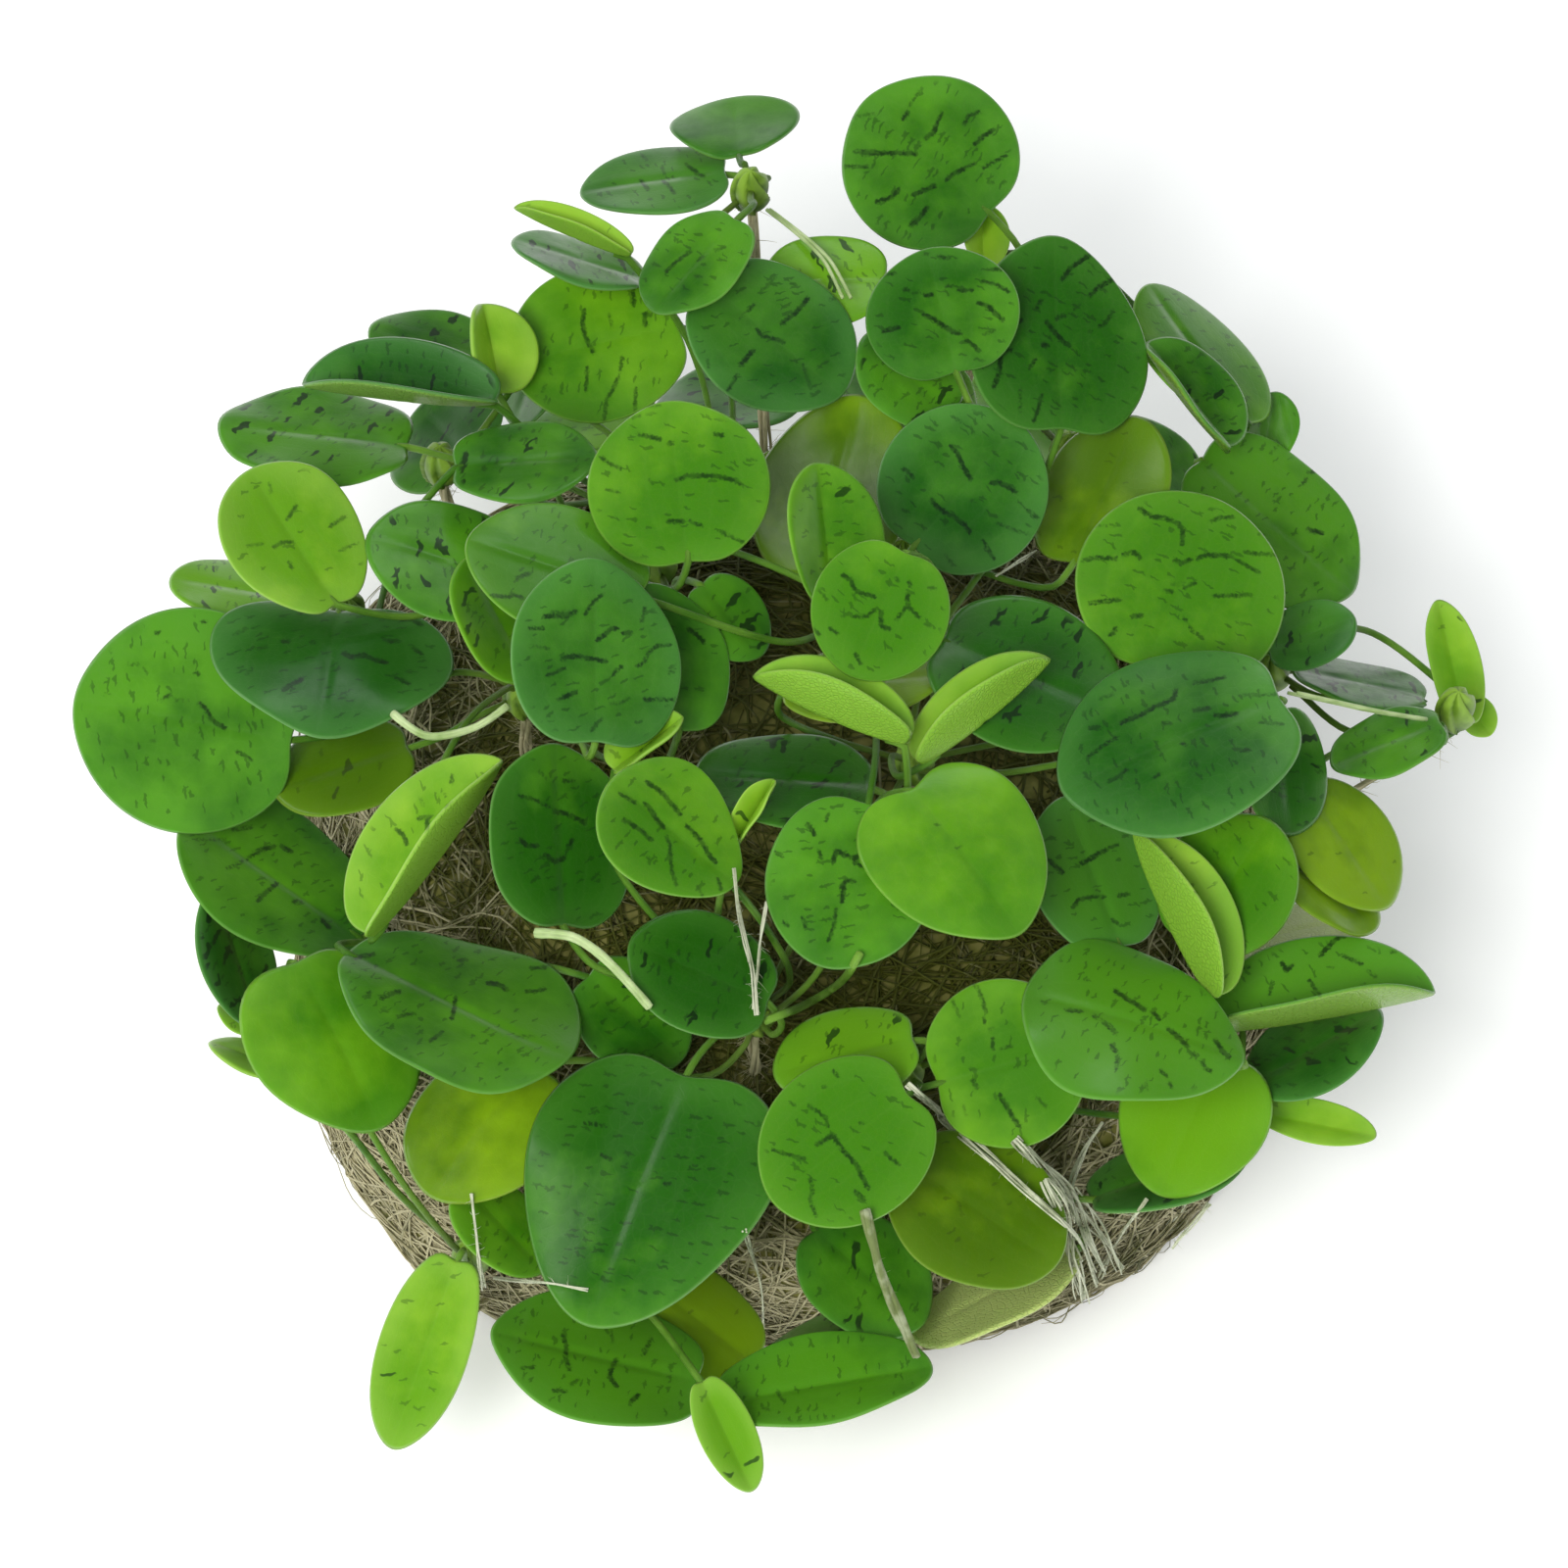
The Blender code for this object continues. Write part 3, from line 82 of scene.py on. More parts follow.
# Each leaf: name, kind, sheet places of its base and tip, width as seen, degrees that its tip
# leans toward the viewer, and what sets it apart: fold (degrees that each half rises), turn
# (degrees rolled about the midrib), width (true width), cup (rim above the middle, as a share
# of the width), taper (how much broader at the base than at the tip), notch (its depth at the
# stalk)
leafTable = [
    ("back_round", "mature", (101.0, 21.7), (87.8, 10.2), 18.4, -12, {}),
    ("back_flat", "mature", (75.4, 15.8), (74.6, 9.0), 13.4, -58, {"taper": -0.6}),
    ("back_sheen", "blue", (74.0, 17.6), (58.9, 19.6), 7.8, 0, {"taper": 0.2}),
    ("back_hanging", "mature", (75.0, 22.4), (66.6, 31.8), 9.0, 10, {}),
    ("far_fold", "young", (64.2, 26.2), (52.4, 21.2), 2.6, 0, {"fold": 58, "turn": 55, "width": 5.4}),
    ("far_sheen", "blue", (65.4, 28.6), (52.2, 24.4), 5.2, 0, {}),
    ("centre_round", "bright", (70.2, 57.3), (68.2, 41.3), 18.2, -12, {}),
    ("blue_middle", "blue", (72.6, 29.2), (85.8, 40.4), 15.0, 8, {}),
    ("bright_left", "bright", (69.2, 33.2), (51.6, 37.2), 16.4, 0, {}),
    ("streaked_back", "mature", (97.6, 38.0), (94.6, 25.6), 15.6, 0, {}),
    ("large_back", "mature", (108.3, 43.9), (107.6, 24.1), 17.8, -12, {"taper": 0.25}),
    ("back_bud", "young", (100.4, 27.4), (100.2, 20.6), 4.6, -10, {"fold": 35, "turn": 15, "width": 6.0}),
    ("narrow_dark", "mature", (125.4, 45.8), (117.0, 35.0), 6.2, 0, {"fold": 25}),
    ("right_tilted", "bright", (127.6, 43.2), (116.9, 29.0), 9.8, -8, {}),
    ("small_forked", "bright", (92.4, 56.4), (87.0, 68.6), 13.6, 5, {}),
    ("round_dark", "blue", (93.2, 55.8), (104.0, 43.2), 17.2, -6, {}),
    ("glossy_right", "blue", (130.6, 71.2), (109.2, 80.6), 17.6, 5, {"cup": -0.04}),
    ("round_right", "bright", (116.8, 68.2), (124.8, 51.2), 21.4, -16, {}),
    ("fold_left", "young", (92.4, 76.0), (77.4, 69.4), 6.0, 0, {"fold": 66, "turn": 62, "width": 11.0}),
    ("fold_right", "young", (94.0, 78.0), (106.8, 67.7), 6.0, 0, {"fold": 64, "turn": 62, "width": 10.0}),
    ("blue_left", "blue", (60.8, 75.8), (60.6, 57.7), 16.4, -14, {"taper": 0.15}),
    ("young_left", "young", (34.4, 61.6), (25.6, 48.0), 13.2, -6, {"cup": 0.10, "taper": -0.35}),
    ("wide_left", "blue", (34.6, 62.2), (33.2, 75.0), 23.4, 46, {"cup": -0.05, "taper": 0.4, "notch": 0.2}),
    ("curled_left", "blue", (50.6, 41.2), (31.0, 39.0), 7.6, 0, {"fold": 32, "turn": 62, "width": 14.0}),
    ("plain_heart", "bright", (93.0, 80.6), (103.4, 94.6), 16.4, 18,
     {"cup": -0.08, "taper": 0.3, "notch": 0.22}),
    ("forked_middle", "mature", (88.6, 82.0), (84.6, 98.0), 16.4, 18, {"cup": -0.04}),
    ("streaked_tongue", "bright", (75.0, 90.4), (63.0, 80.0), 12.0, 0, {"taper": -0.6, "notch": 0.03}),
    ("white_bud", "young", (75.2, 85.8), (78.9, 79.8), 3.0, 0, {"fold": 62, "turn": 20, "width": 5.5}),
    ("pale_bud", "young", (62.6, 78.6), (69.5, 73.4), 5.0, 0, {"fold": 50, "turn": 30, "width": 7.5}),
    ("spotted_fold", "young", (38.0, 95.6), (50.8, 78.2), 9.4, 0, {"fold": 48, "turn": 56, "width": 15.0}),
    ("front_left", "mature", (35.4, 97.0), (57.4, 107.8), 13.8, 12, {"taper": -0.5, "notch": 0.03}),
    ("round_front", "bright", (92.6, 111.6), (79.4, 122.0), 16.0, 8, {"notch": 0.18}),
    ("largest", "mature", (69.9, 109.8), (60.4, 134.0), 23.0, 12,
     {"cup": -0.06, "taper": 0.45, "notch": 0.18}),
    ("bright_fold", "young", (123.6, 101.8), (115.8, 85.6), 7.2, 0, {"fold": 62, "turn": 58, "width": 13.0}),
    ("white_edged", "mature", (124.4, 105.0), (145.8, 101.2), 9.6, 0, {"fold": 46, "turn": 60, "width": 16}),
    ("front_right", "mature", (127.0, 108.2), (105.4, 101.8), 14.6, 0,
     {"cup": -0.04, "taper": -0.6, "notch": 0.0}),
    ("far_right_young", "young", (149.6, 73.8), (146.8, 61.2), 5.4, -5, {"fold": 20, "turn": 15, "width": 6}),
    ("far_right_bud", "young", (149.2, 71.4), (152.2, 75.0), 3.6, 0, {"fold": 20, "turn": 10, "width": 4.2}),
    ("hanging_left", "young", (46.6, 128.6), (40.0, 147.5), 8.8, -5, {"fold": 14, "turn": 10, "width": 9.6}),
    ("hanging_small", "young", (71.6, 141.0), (76.6, 151.8), 5.4, -5, {"fold": 20, "turn": 12, "width": 6}),
    ("lying_front", "mature", (73.8, 143.2), (94.4, 139.6), 8.4, 0, {"fold": 12, "turn": 48, "width": 12.5}),
    ("widest_left", "mature", (29.8, 75.5), (7.8, 71.3), 22.8, -5, {"cup": -0.04}),
    ("pale_upright", "young", (51.0, 40.2), (49.2, 30.9), 6.6, -5, {"fold": 30, "turn": 40, "width": 10.0}),
    ("left_oval", "mature", (41.6, 45.4), (22.2, 43.4), 10.4, 0, {}),
    ("left_back", "mature", (51.8, 37.6), (37.5, 33.6), 8.4, 0, {}),
    ("left_deep", "mature", (46.4, 47.6), (60.8, 46.6), 8.6, 0, {}),
    ("streaked_under", "bright", (65.4, 60.8), (48.2, 55.2), 12.6, 0, {}),
    ("pale_rimmed", "bright", (54.0, 69.0), (47.8, 57.2), 8.0, 0, {"cup": 0.06}),
    ("dark_left", "mature", (53.2, 59.6), (37.8, 54.6), 11.8, 0, {}),
    ("blue_left_twin", "mature", (69.4, 74.6), (66.0, 60.0), 12.6, -10, {}),
    ("lit_back", "bright", (90.4, 28.4), (77.6, 28.8), 9.8, 0, {}),
    ("shade_back", "mature", (96.8, 42.2), (88.2, 34.4), 9.2, 0, {}),
    ("large_right", "mature", (122.6, 46.8), (138.0, 60.6), 14.8, 0, {}),
    ("right_scrap", "mature", (128.8, 47.4), (130.2, 39.8), 6.0, -10, {}),
    ("bright_edge", "bright", (85.0, 61.6), (83.4, 47.6), 9.6, -5, {"fold": 24, "turn": 30, "width": 12.0}),
    ("olive_back", "olive", (82.6, 58.8), (87.8, 40.4), 15.8, -10, {}),
    ("olive_right", "olive", (109.4, 57.4), (116.0, 42.4), 12.0, -10, {}),
    ("dark_middle", "mature", (96.2, 65.2), (113.6, 72.8), 15.2, 8, {}),
    ("blue_right", "blue", (129.4, 66.4), (138.2, 63.0), 6.8, 0, {}),
    ("dark_front", "mature", (57.6, 94.4), (56.6, 76.6), 13.8, -8, {}),
    ("shaded_left", "olive", (41.6, 76.2), (28.0, 80.6), 9.8, 5, {}),
    ("broad_left", "mature", (36.8, 95.6), (19.2, 83.2), 13.0, 0, {"cup": 0.06, "taper": -0.3}),
    ("sheen_right", "blue", (114.4, 96.6), (108.6, 81.8), 12.4, -5, {}),
    ("bright_right", "bright", (121.6, 96.2), (129.4, 84.0), 13.2, -5, {}),
    ("bright_front", "bright", (95.6, 110.6), (110.2, 106.2), 16.8, 5, {}),
    ("yellow_front", "bright", (124.4, 107.6), (118.2, 121.4), 14.4, 15, {"taper": 0.3}),
    ("lower_left", "bright", (30.2, 98.2), (38.8, 114.6), 16.2, 15, {"cup": -0.04, "taper": 0.2}),
    ("yellow_left", "olive", (54.4, 108.8), (44.2, 121.4), 14.2, 15, {"cup": -0.04}),
    ("bright_behind", "bright", (93.2, 106.0), (79.4, 109.4), 9.0, 0, {}),
    ("faint_front", "olive", (92.6, 118.6), (107.2, 128.6), 14.4, 10, {}),
    ("bottom_left", "mature", (71.2, 141.0), (50.8, 136.0), 11.4, 5, {}),
    ("bottom_olive", "olive", (76.8, 139.2), (66.0, 130.6), 9.6, 5, {}),
    ("blue_corner", "blue", (128.0, 110.6), (140.6, 103.2), 7.8, 0, {}),
    ("thin_right", "young", (128.8, 113.6), (140.2, 115.8), 4.2, 0, {"fold": 20, "turn": 20, "width": 5.0}),
    ("far_right_low", "mature", (147.0, 73.8), (136.0, 78.0), 6.2, 0, {}),
    ("far_right_high", "mature", (145.4, 71.2), (132.0, 68.4), 4.8, 0, {}),
    ("right_shade", "mature", (130.4, 72.4), (131.6, 85.0), 9.2, 5, {}),
    ("olive_corner", "olive", (133.4, 80.4), (141.4, 92.4), 10.2, 5, {}),
    ("olive_low", "olive", (131.0, 85.6), (140.0, 94.8), 7.2, 5, {}),
    ("pale_crescent", "olive", (125.0, 96.6), (139.8, 93.6), 4.8, 0, {}),
    ("pale_far_left", "bright", (30.4, 61.4), (17.4, 59.0), 6.4, 0, {}),
    ("olive_gap", "olive", (80.0, 70.4), (95.6, 69.0), 7.4, 0, {}),
    ("dark_gap", "mature", (88.8, 80.2), (71.4, 79.0), 9.4, 0, {}),
    ("deep_round", "mature", (78.4, 102.2), (64.8, 96.4), 11.6, 5, {}),
    ("deep_left", "mature", (60.0, 99.6), (69.4, 108.0), 10.4, 0, {}),
    ("deep_front", "mature", (83.2, 125.4), (93.8, 135.0), 11.4, 5, {}),
    ("left_edge", "blue", (26.2, 104.2), (21.8, 90.4), 6.2, 0, {}),
    ("left_bud_high", "young", (27.0, 105.2), (22.3, 102.6), 2.8, 0, {}),
    ("left_bud_low", "young", (29.6, 109.4), (21.5, 106.4), 2.6, 0, {}),
    ("blue_low", "blue", (111.4, 122.2), (127.4, 117.2), 5.6, 0, {}),
    ("blue_front", "blue", (92.0, 134.6), (77.8, 138.8), 4.2, 0, {}),
    ("bright_low", "bright", (47.4, 121.2), (55.4, 129.4), 7.4, 5, {}),
    ("clear_old", "olive", (109.6, 127.4), (93.4, 136.4), 5.8, 0, {}),
    ("under_round", "mature", (71.6, 59.6), (77.6, 66.8), 7.4, 0, {}),
    ("bright_scrap", "bright", (98.4, 43.4), (96.2, 36.8), 4.4, 0, {}),
    ("shade_left", "mature", (57.2, 31.4), (52.4, 43.8), 7.0, 0, {}),
]

# The leaves of the far side, which those in sight cover
rearTable = [
    ("rear_a", "mature", (48.0, 47.0), (42.0, 41.0), 15.0, -52, {}),
    ("rear_b", "bright", (62.0, 46.0), (58.0, 38.5), 15.0, -55, {}),
    ("rear_c", "blue", (75.0, 44.0), (74.0, 36.0), 16.0, -58, {}),
    ("rear_d", "mature", (89.0, 44.0), (91.0, 36.0), 15.0, -56, {}),
    ("rear_e", "bright", (102.0, 46.0), (106.0, 39.0), 15.0, -54, {}),
    ("rear_f", "mature", (116.0, 50.0), (122.0, 45.0), 14.0, -48, {}),
    ("rear_g", "olive", (82.0, 52.0), (82.0, 45.0), 13.0, -50, {}),
]

# Each plant's crown: name and its place on the sheet
crownTable = [
    ("back", (76.6, 19.4)),
    ("back_right", (100.4, 27.8)),
    ("left_high", (45.0, 47.4)),
    ("left_middle", (53.4, 71.0)),
    ("front_middle", (92.4, 109.8)),
    ("far_right", (148.6, 72.4)),
    ("right_back", (109.2, 46.2)),
    ("centre_left", (67.0, 57.8)),
    ("centre", (92.2, 57.0)),
    ("centre_low", (93.2, 77.8)),
    ("left", (35.6, 62.6)),
    ("lower_left", (37.6, 96.2)),
    ("right", (129.8, 68.4)),
    ("lower_right", (124.6, 103.4)),
    ("front_left", (48.0, 128.4)),
    ("front", (72.0, 140.6)),
    ("low_middle", (77.0, 103.4)),
]

# Each runner: name, half width, and the sheet place where it starts
runnerTable = [
    ("back_curl", 0.40, (78.4, 21.4)),
    ("far_right_runner", 0.42, (145.4, 73.4)),
    ("left_curl", 0.42, (40.1, 72.8)),
    ("cut_white", 0.50, (54.6, 95.2)),
    ("front_hanging", 0.70, (88.3, 123.5)),
]


# The form of a blade, the same as the solids have
bladeForm = {
    "thickness": 1.1,
    "baseThinning": 0.9,
    "fullness": 0.95,
    "cup": 0.03,
    "notchDepth": 0.13,
    "notchSpread": 0.34,
    "pointLength": 0.03,
    "pointSpread": 0.35,
    "rimTurns": (30, 60, 90, 120, 150),
    "midribPlaces": (0.22, 0.5, 0.78),
    "stalkHalf": 0.55,
}
crownSolid = {"radius": 2.6, "tall": 1.35}


def outline(turn, reach, leaf):  # places along and across a blade, with turn counted from its notch
    form = bladeForm
    fromNotch = np.abs((turn + np.pi) % (2 * np.pi) - np.pi)
    dent = leaf.notch * np.exp(-((fromNotch / form["notchSpread"]) ** 2))
    point = form["pointLength"] * np.exp(-(((np.pi - fromNotch) / form["pointSpread"]) ** 2))
    radius = 0.5 * (1 - dent + point) * reach
    notchPlace = 0.5 * leaf.notch
    along = (0.5 - radius * np.cos(turn) - notchPlace) / (1 + 0.5 * form["pointLength"] - notchPlace)
    return along, radius * np.sin(turn) * (1 + leaf.taper * (0.5 - along))


class Leaf:
    def __init__(self, name, kind, base, tip, seenWidth, lean, extra):
        self.name = name
        self.kind = kind
        self.fold = math.radians(extra.get("fold", 0))
        self.cup = extra.get("cup", bladeForm["cup"])
        self.taper = extra.get("taper", 0.0)
        self.notch = extra.get("notch", bladeForm["notchDepth"])
        seen = fromSheet(tip, 0) - fromSheet(base, 0)
        lean = math.radians(lean)
        self.length = np.linalg.norm(seen) / math.cos(lean)
        self.width = extra.get("width", max(seenWidth, bladeForm["fullness"] * self.length))
        axis = unit(seen)
        self.axis = axis * math.cos(lean) + toward * math.sin(lean)
        face = toward * math.cos(lean) - axis * math.sin(lean)
        side = np.cross(self.axis, face)
        turn = math.acos(min(1, seenWidth / self.width))
        if "turn" in extra:
            turn = math.radians(extra["turn"])
        turn = turn if side[2] >= 0 else -turn
        self.face = face * math.cos(turn) + side * math.sin(turn)
        self.side = side * math.cos(turn) - face * math.sin(turn)
        self.ray = sightRay(base)
        self.root = fromSheet(base, -self.length * math.sin(lean) / 2)  # moved to its depth later

    def place(self, along, across, raised, crease=0.0):
        # crease rounds the fold at the midrib, and raised is measured square to the folded halves
        off = np.abs(across) * self.width
        rounding = crease * self.width
        lift = np.sqrt(off ** 2 + rounding ** 2) - rounding
        steep = across * self.width / np.sqrt(off ** 2 + rounding ** 2 + 1e-9)
        bowl = self.cup * self.width * ((2 * across) ** 2 + (2 * along - 1) ** 2 - 1) / 2
        inward = -raised * steep * math.sin(self.fold) if crease else 0.0
        upright = raised * np.cos(self.fold * steep) if crease else raised
        sidewaysBy = np.sign(across) * off * math.cos(self.fold) + inward
        heightBy = lift * math.sin(self.fold) + bowl + upright
        return (self.root + np.outer(along * self.length, self.axis) + np.outer(sidewaysBy, self.side)
                + np.outer(heightBy, self.face))

    def cornerPoints(self):  # of the solid, to find it in the frame
        form = bladeForm
        half = form["thickness"] / 2
        across = form["stalkHalf"] / self.width
        baseHalf = half * form["baseThinning"]
        rows = [(0.0, side * across, level * baseHalf) for level in (1, -1) for side in (-1, 1)]
        for side in (-1, 1):
            for degrees in form["rimTurns"]:
                along, sidewaysBy = outline(math.radians(degrees), 1.0, self)
                rows.append((along, side * sidewaysBy, 0.0))
        rows.append((outline(math.pi, 1.0, self)[0], 0.0, 0.0))
        rows += [(along, 0.0, level * half) for level in (1, -1) for along in form["midribPlaces"]]
        rows = np.array(rows)
        return self.place(rows[:, 0], rows[:, 1], rows[:, 2])


# How leaves, crowns, strands and runners are found in the frame, in mm
finding = {
    "merge": 0.001,
    "slack": 0.03,       # how far a point in the frame may lie from where the form has it
    "same": 0.05,        # points nearer than this are one
    "ringReach": 1.8,    # the most from the middle of a stalk's or runner's ring to its corners
    "strandReach": 2.2,  # and of a root strand's
    "offCrown": 1.15,    # where strands come free of their crown, in crown radii
    "strandRings": 6,
    "leafPoints": 10,    # the fewest points that a leaf and a crown are known by
    "crownPoints": 4,
}


def mergedMesh(name):  # of a node, whose triangles are loose
    mesh = bmesh.new()
    mesh.from_mesh(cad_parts[name].data)
    bmesh.ops.remove_doubles(mesh, verts=mesh.verts, dist=finding["merge"] * mm)
    return mesh


class Node:
    def __init__(self, name):
        mesh = mergedMesh(name)
        mesh.verts.index_update()
        self.points = np.array([vertex.co[:] for vertex in mesh.verts]) / mm
        self.joined = [{edge.other_vert(vertex).index for edge in vertex.link_edges} for vertex in mesh.verts]
        self.used = set()
        mesh.free()

    def near(self, place):
        away = np.linalg.norm(self.points - place, axis=1)
        return [int(i) for i in np.nonzero(away < finding["same"])[0]]


def depthMatch(template, ray, node):
    # the depth along the ray at which the most points of the template fall on the node's own
    away = node.points[None] - template[:, None]
    depths = away @ ray / (ray @ ray)
    missed = np.linalg.norm(away - depths[..., None] * ray, axis=2)
    found = np.sort(depths[missed < finding["slack"]])
    if not len(found):
        return 0, 0.0
    counts = [int(np.sum(np.abs(found - depth) < finding["slack"])) for depth in found]
    best = int(np.argmax(counts))
    return counts[best], float(found[best])


def ringSize(corners):
    return np.linalg.norm(corners - corners.mean(axis=0), axis=1).max()


def ringWalk(node, ring, most, taken):
    # centres of the square rings of a tube, from the ring given outwards
    centres = []
    taken = set(taken) | set(ring)
    while len(centres) < most:
        following = {other for index in ring for other in node.joined[index]} - taken
        if len(following) != 4:
            break
        corners = node.points[sorted(following)]
        if ringSize(corners) > finding["ringReach"]:
            break
        centres.append(corners.mean(axis=0))
        taken |= following
        ring = following
    node.used |= taken
    return centres


class Crown:
    def __init__(self, name, place):
        self.name = name
        self.node = Node("plant_" + name)
        self.leaves = []
        ball = bmesh.new()
        bmesh.ops.create_icosphere(ball, subdivisions=1, radius=crownSolid["radius"])
        ballPoints = np.array([vertex.co[:] for vertex in ball.verts]) * (1, 1, crownSolid["tall"])
        ball.free()
        count, depth = depthMatch(fromSheet(place, 0) + ballPoints, sightRay(place), self.node)
        self.middle = fromSheet(place, depth)
        if count < finding["crownPoints"]:
            print("crown not found in the frame:", name, count)

    def strandPath(self):
        # what is left of the node's points, away from the crown, lies in rings of four
        shape = np.array((1, 1, crownSolid["tall"])) * crownSolid["radius"]
        points = self.node.points
        reach = np.linalg.norm((points - self.middle) / shape, axis=1)
        free = [i for i in range(len(points)) if i not in self.node.used and reach[i] > finding["offCrown"]]
        free.sort(key=lambda i: np.linalg.norm(points[i] - self.middle))
        rings = [points[free[i:i + 4]] for i in range(0, len(free) - 3, 4)]
        centres = [ring.mean(axis=0) for ring in rings if ringSize(ring) < finding["strandReach"]]
        if len(centres) < 2:  # followed from the strand's foot upward instead
            foot = set(sorted(free, key=lambda i: points[i][2])[:4])
            climb = ringWalk(self.node, foot, finding["strandRings"], foot)
            centres = climb[::-1] + [points[sorted(foot)].mean(axis=0)]
        return [self.middle] + centres


crowns = [Crown(*entry) for entry in crownTable]
leaves = [Leaf(*entry) for entry in leafTable + rearTable]
for leaf in leaves:
    template = leaf.cornerPoints()
    own = "leaf_" + leaf.name
    leaf.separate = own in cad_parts
    nodes = [Node(own)] if leaf.separate else [crown.node for crown in crowns]
    matches = [depthMatch(template, leaf.ray, node) for node in nodes]
    best = max(range(len(nodes)), key=lambda i: matches[i][0])
    node, (count, depth) = nodes[best], matches[best]
    if count < finding["leafPoints"]:
        print("leaf not found in the frame:", leaf.name, count)
    leaf.root = leaf.root + leaf.ray * depth
    template = template + leaf.ray * depth
    blade = {i for point in template for i in node.near(point)}
    ring = {i for point in template[:4] for i in node.near(point)}  # where the stalk leaves it
    rings = 4 if leaf.separate else 2
    leaf.stalk = ringWalk(node, ring, rings, blade) if len(ring) == 4 else []
    node.used |= blade
    if leaf.separate:
        end = leaf.stalk[-1] if leaf.stalk else leaf.root
        leaf.crown = min(crowns, key=lambda crown: np.linalg.norm(crown.middle - end))
    else:
        leaf.crown = crowns[best]
        leaf.crown.leaves.append(leaf)
print("placed", len(leaves), "leaves on", len(crowns), "crowns")


# Gathers points, faces and what the materials read, and makes one piece of them
materials = {}
traits = ("rim", "under", "tone", "streaking", "specks", "outside", "ink")
mapUnit = 10  # mm of a blade or tube that one unit of a pattern's map covers


class Shape:
    def __init__(self):
        self.points, self.faces, self.finish, self.count = [], [], [], 0
        self.trait = {name: [] for name in traits}
        self.maps = {"blade": [], "streaks": []}

    def add(self, points, faces, finish, blade=None, streaks=None, **values):
        size = len(points)
        self.points.append(points)
        for group in faces:
            if len(group):
                self.faces += (np.asarray(group) + self.count).tolist()
                self.finish += [finish] * len(group)
        for name in traits:
            self.trait[name].append(np.broadcast_to(values.get(name, 0.0), size))
        for name, places in (("blade", blade), ("streaks", streaks)):
            self.maps[name].append(np.zeros((size, 2)) if places is None else places)
        self.count += size

    def addTube(self, path, radii, sides, finish, **values):
        points, faces, tubeMap = tubeMesh(path, radii, sides)
        self.add(points, faces, finish, tubeMap, tubeMap, **values)

    def make(self, name):
        mesh = bpy.data.meshes.new(name)
        mesh.from_pydata((np.concatenate(self.points) * mm).tolist(), [], self.faces)
        worn = set(self.finish)
        used = [finish for finish in materials if finish in worn]
        for finish in used:
            mesh.materials.append(materials[finish])
        mesh.polygons.foreach_set("material_index", [used.index(finish) for finish in self.finish])
        mesh.polygons.foreach_set("use_smooth", [True] * len(self.faces))
        for trait, values in self.trait.items():
            layer = mesh.attributes.new(trait, "FLOAT", "POINT")
            layer.data.foreach_set("value", np.concatenate(values).astype(np.float32))
        corners = np.empty(len(mesh.loops), dtype=np.int32)
        mesh.loops.foreach_get("vertex_index", corners)
        for mapName, places in self.maps.items():
            layer = mesh.uv_layers.new(name=mapName)
            layer.data.foreach_set("uv", np.concatenate(places)[corners].astype(np.float32).ravel())
        mesh.update()
        piece = bpy.data.objects.new(name, mesh)
        bpy.context.scene.collection.objects.link(piece)
        return piece


def smoothPath(knots, spacing):  # an even line through the knots
    knots = [np.asarray(knot, dtype=float) for knot in knots]
    knots = [knot for i, knot in enumerate(knots)
             if i == 0 or np.linalg.norm(knot - knots[i - 1]) > finding["same"]]
    ends = [knots[0] * 2 - knots[1]] + knots + [knots[-1] * 2 - knots[-2]]
    line = []
    for before, start, end, after in zip(ends, ends[1:], ends[2:], ends[3:]):
        span = np.linalg.norm(end - start)
        leaving = (end - before) * span / (np.linalg.norm(start - before) + span)
        arriving = (after - start) * span / (np.linalg.norm(after - end) + span)
        steps = max(2, int(round(span / spacing)))
        for t in np.arange(steps) / steps:
            line.append(start * (2 * t**3 - 3 * t**2 + 1) + leaving * (t**3 - 2 * t**2 + t)
                        + end * (3 * t**2 - 2 * t**3) + arriving * (t**3 - t**2))
    return np.array(line + [knots[-1]])


def headings(path):
    along = np.gradient(path, axis=-2)
    return along / np.linalg.norm(along, axis=-1)[..., None]


def sideVectors(along, start):  # square to the path, and turned as little as can be
    side = unit(np.cross(along[0], start))
    sides = []
    for heading in along:
        side = unit(side - heading * side.dot(heading))
        sides.append(side)
    return np.array(sides)


def ringPoints(path, radii, turns, sides, others):
    turns = np.asarray(turns)[:, None]
    circle = np.cos(turns) * sides[..., None, :] + np.sin(turns) * others[..., None, :]
    return path[..., None, :] + radii[..., None, None] * circle


def ringQuads(count, sides):
    ring = np.arange(sides)
    after = (ring + 1) % sides
    return np.concatenate([np.stack((ring, after, after + sides, ring + sides), axis=1) + sides * i
                           for i in range(count - 1)])


def tubeMesh(path, radii, sides):  # points, faces and how far round and along each point lies
    bulge = 0.4  # of the ends, in radii
    along = headings(path)
    squares = sideVectors(along, (0.3, 0.5, 0.8))
    ring = np.arange(sides)
    rings = ringPoints(path, radii, ring * 2 * np.pi / sides, squares, np.cross(along, squares))
    points = np.concatenate((rings.reshape(-1, 3), path[:1] - along[:1] * radii[0] * bulge,
                             path[-1:] + along[-1:] * radii[-1] * bulge))
    count = len(path)
    after = (ring + 1) % sides
    first, last = sides * count, sides * (count - 1)
    caps = np.concatenate([np.stack((after, ring, np.full(sides, first)), axis=1),
                           np.stack((ring + last, after + last, np.full(sides, first + 1)), axis=1)])
    lengths = np.concatenate(([0], np.cumsum(np.linalg.norm(np.diff(path, axis=0), axis=1))))
    roundBy = np.append(np.tile(ring / sides, count), (0, 0))
    alongBy = np.append(np.repeat(lengths, sides), (0, lengths[-1])) / mapUnit
    return points, (ringQuads(count, sides), caps), np.stack((roundBy, alongBy), axis=1)


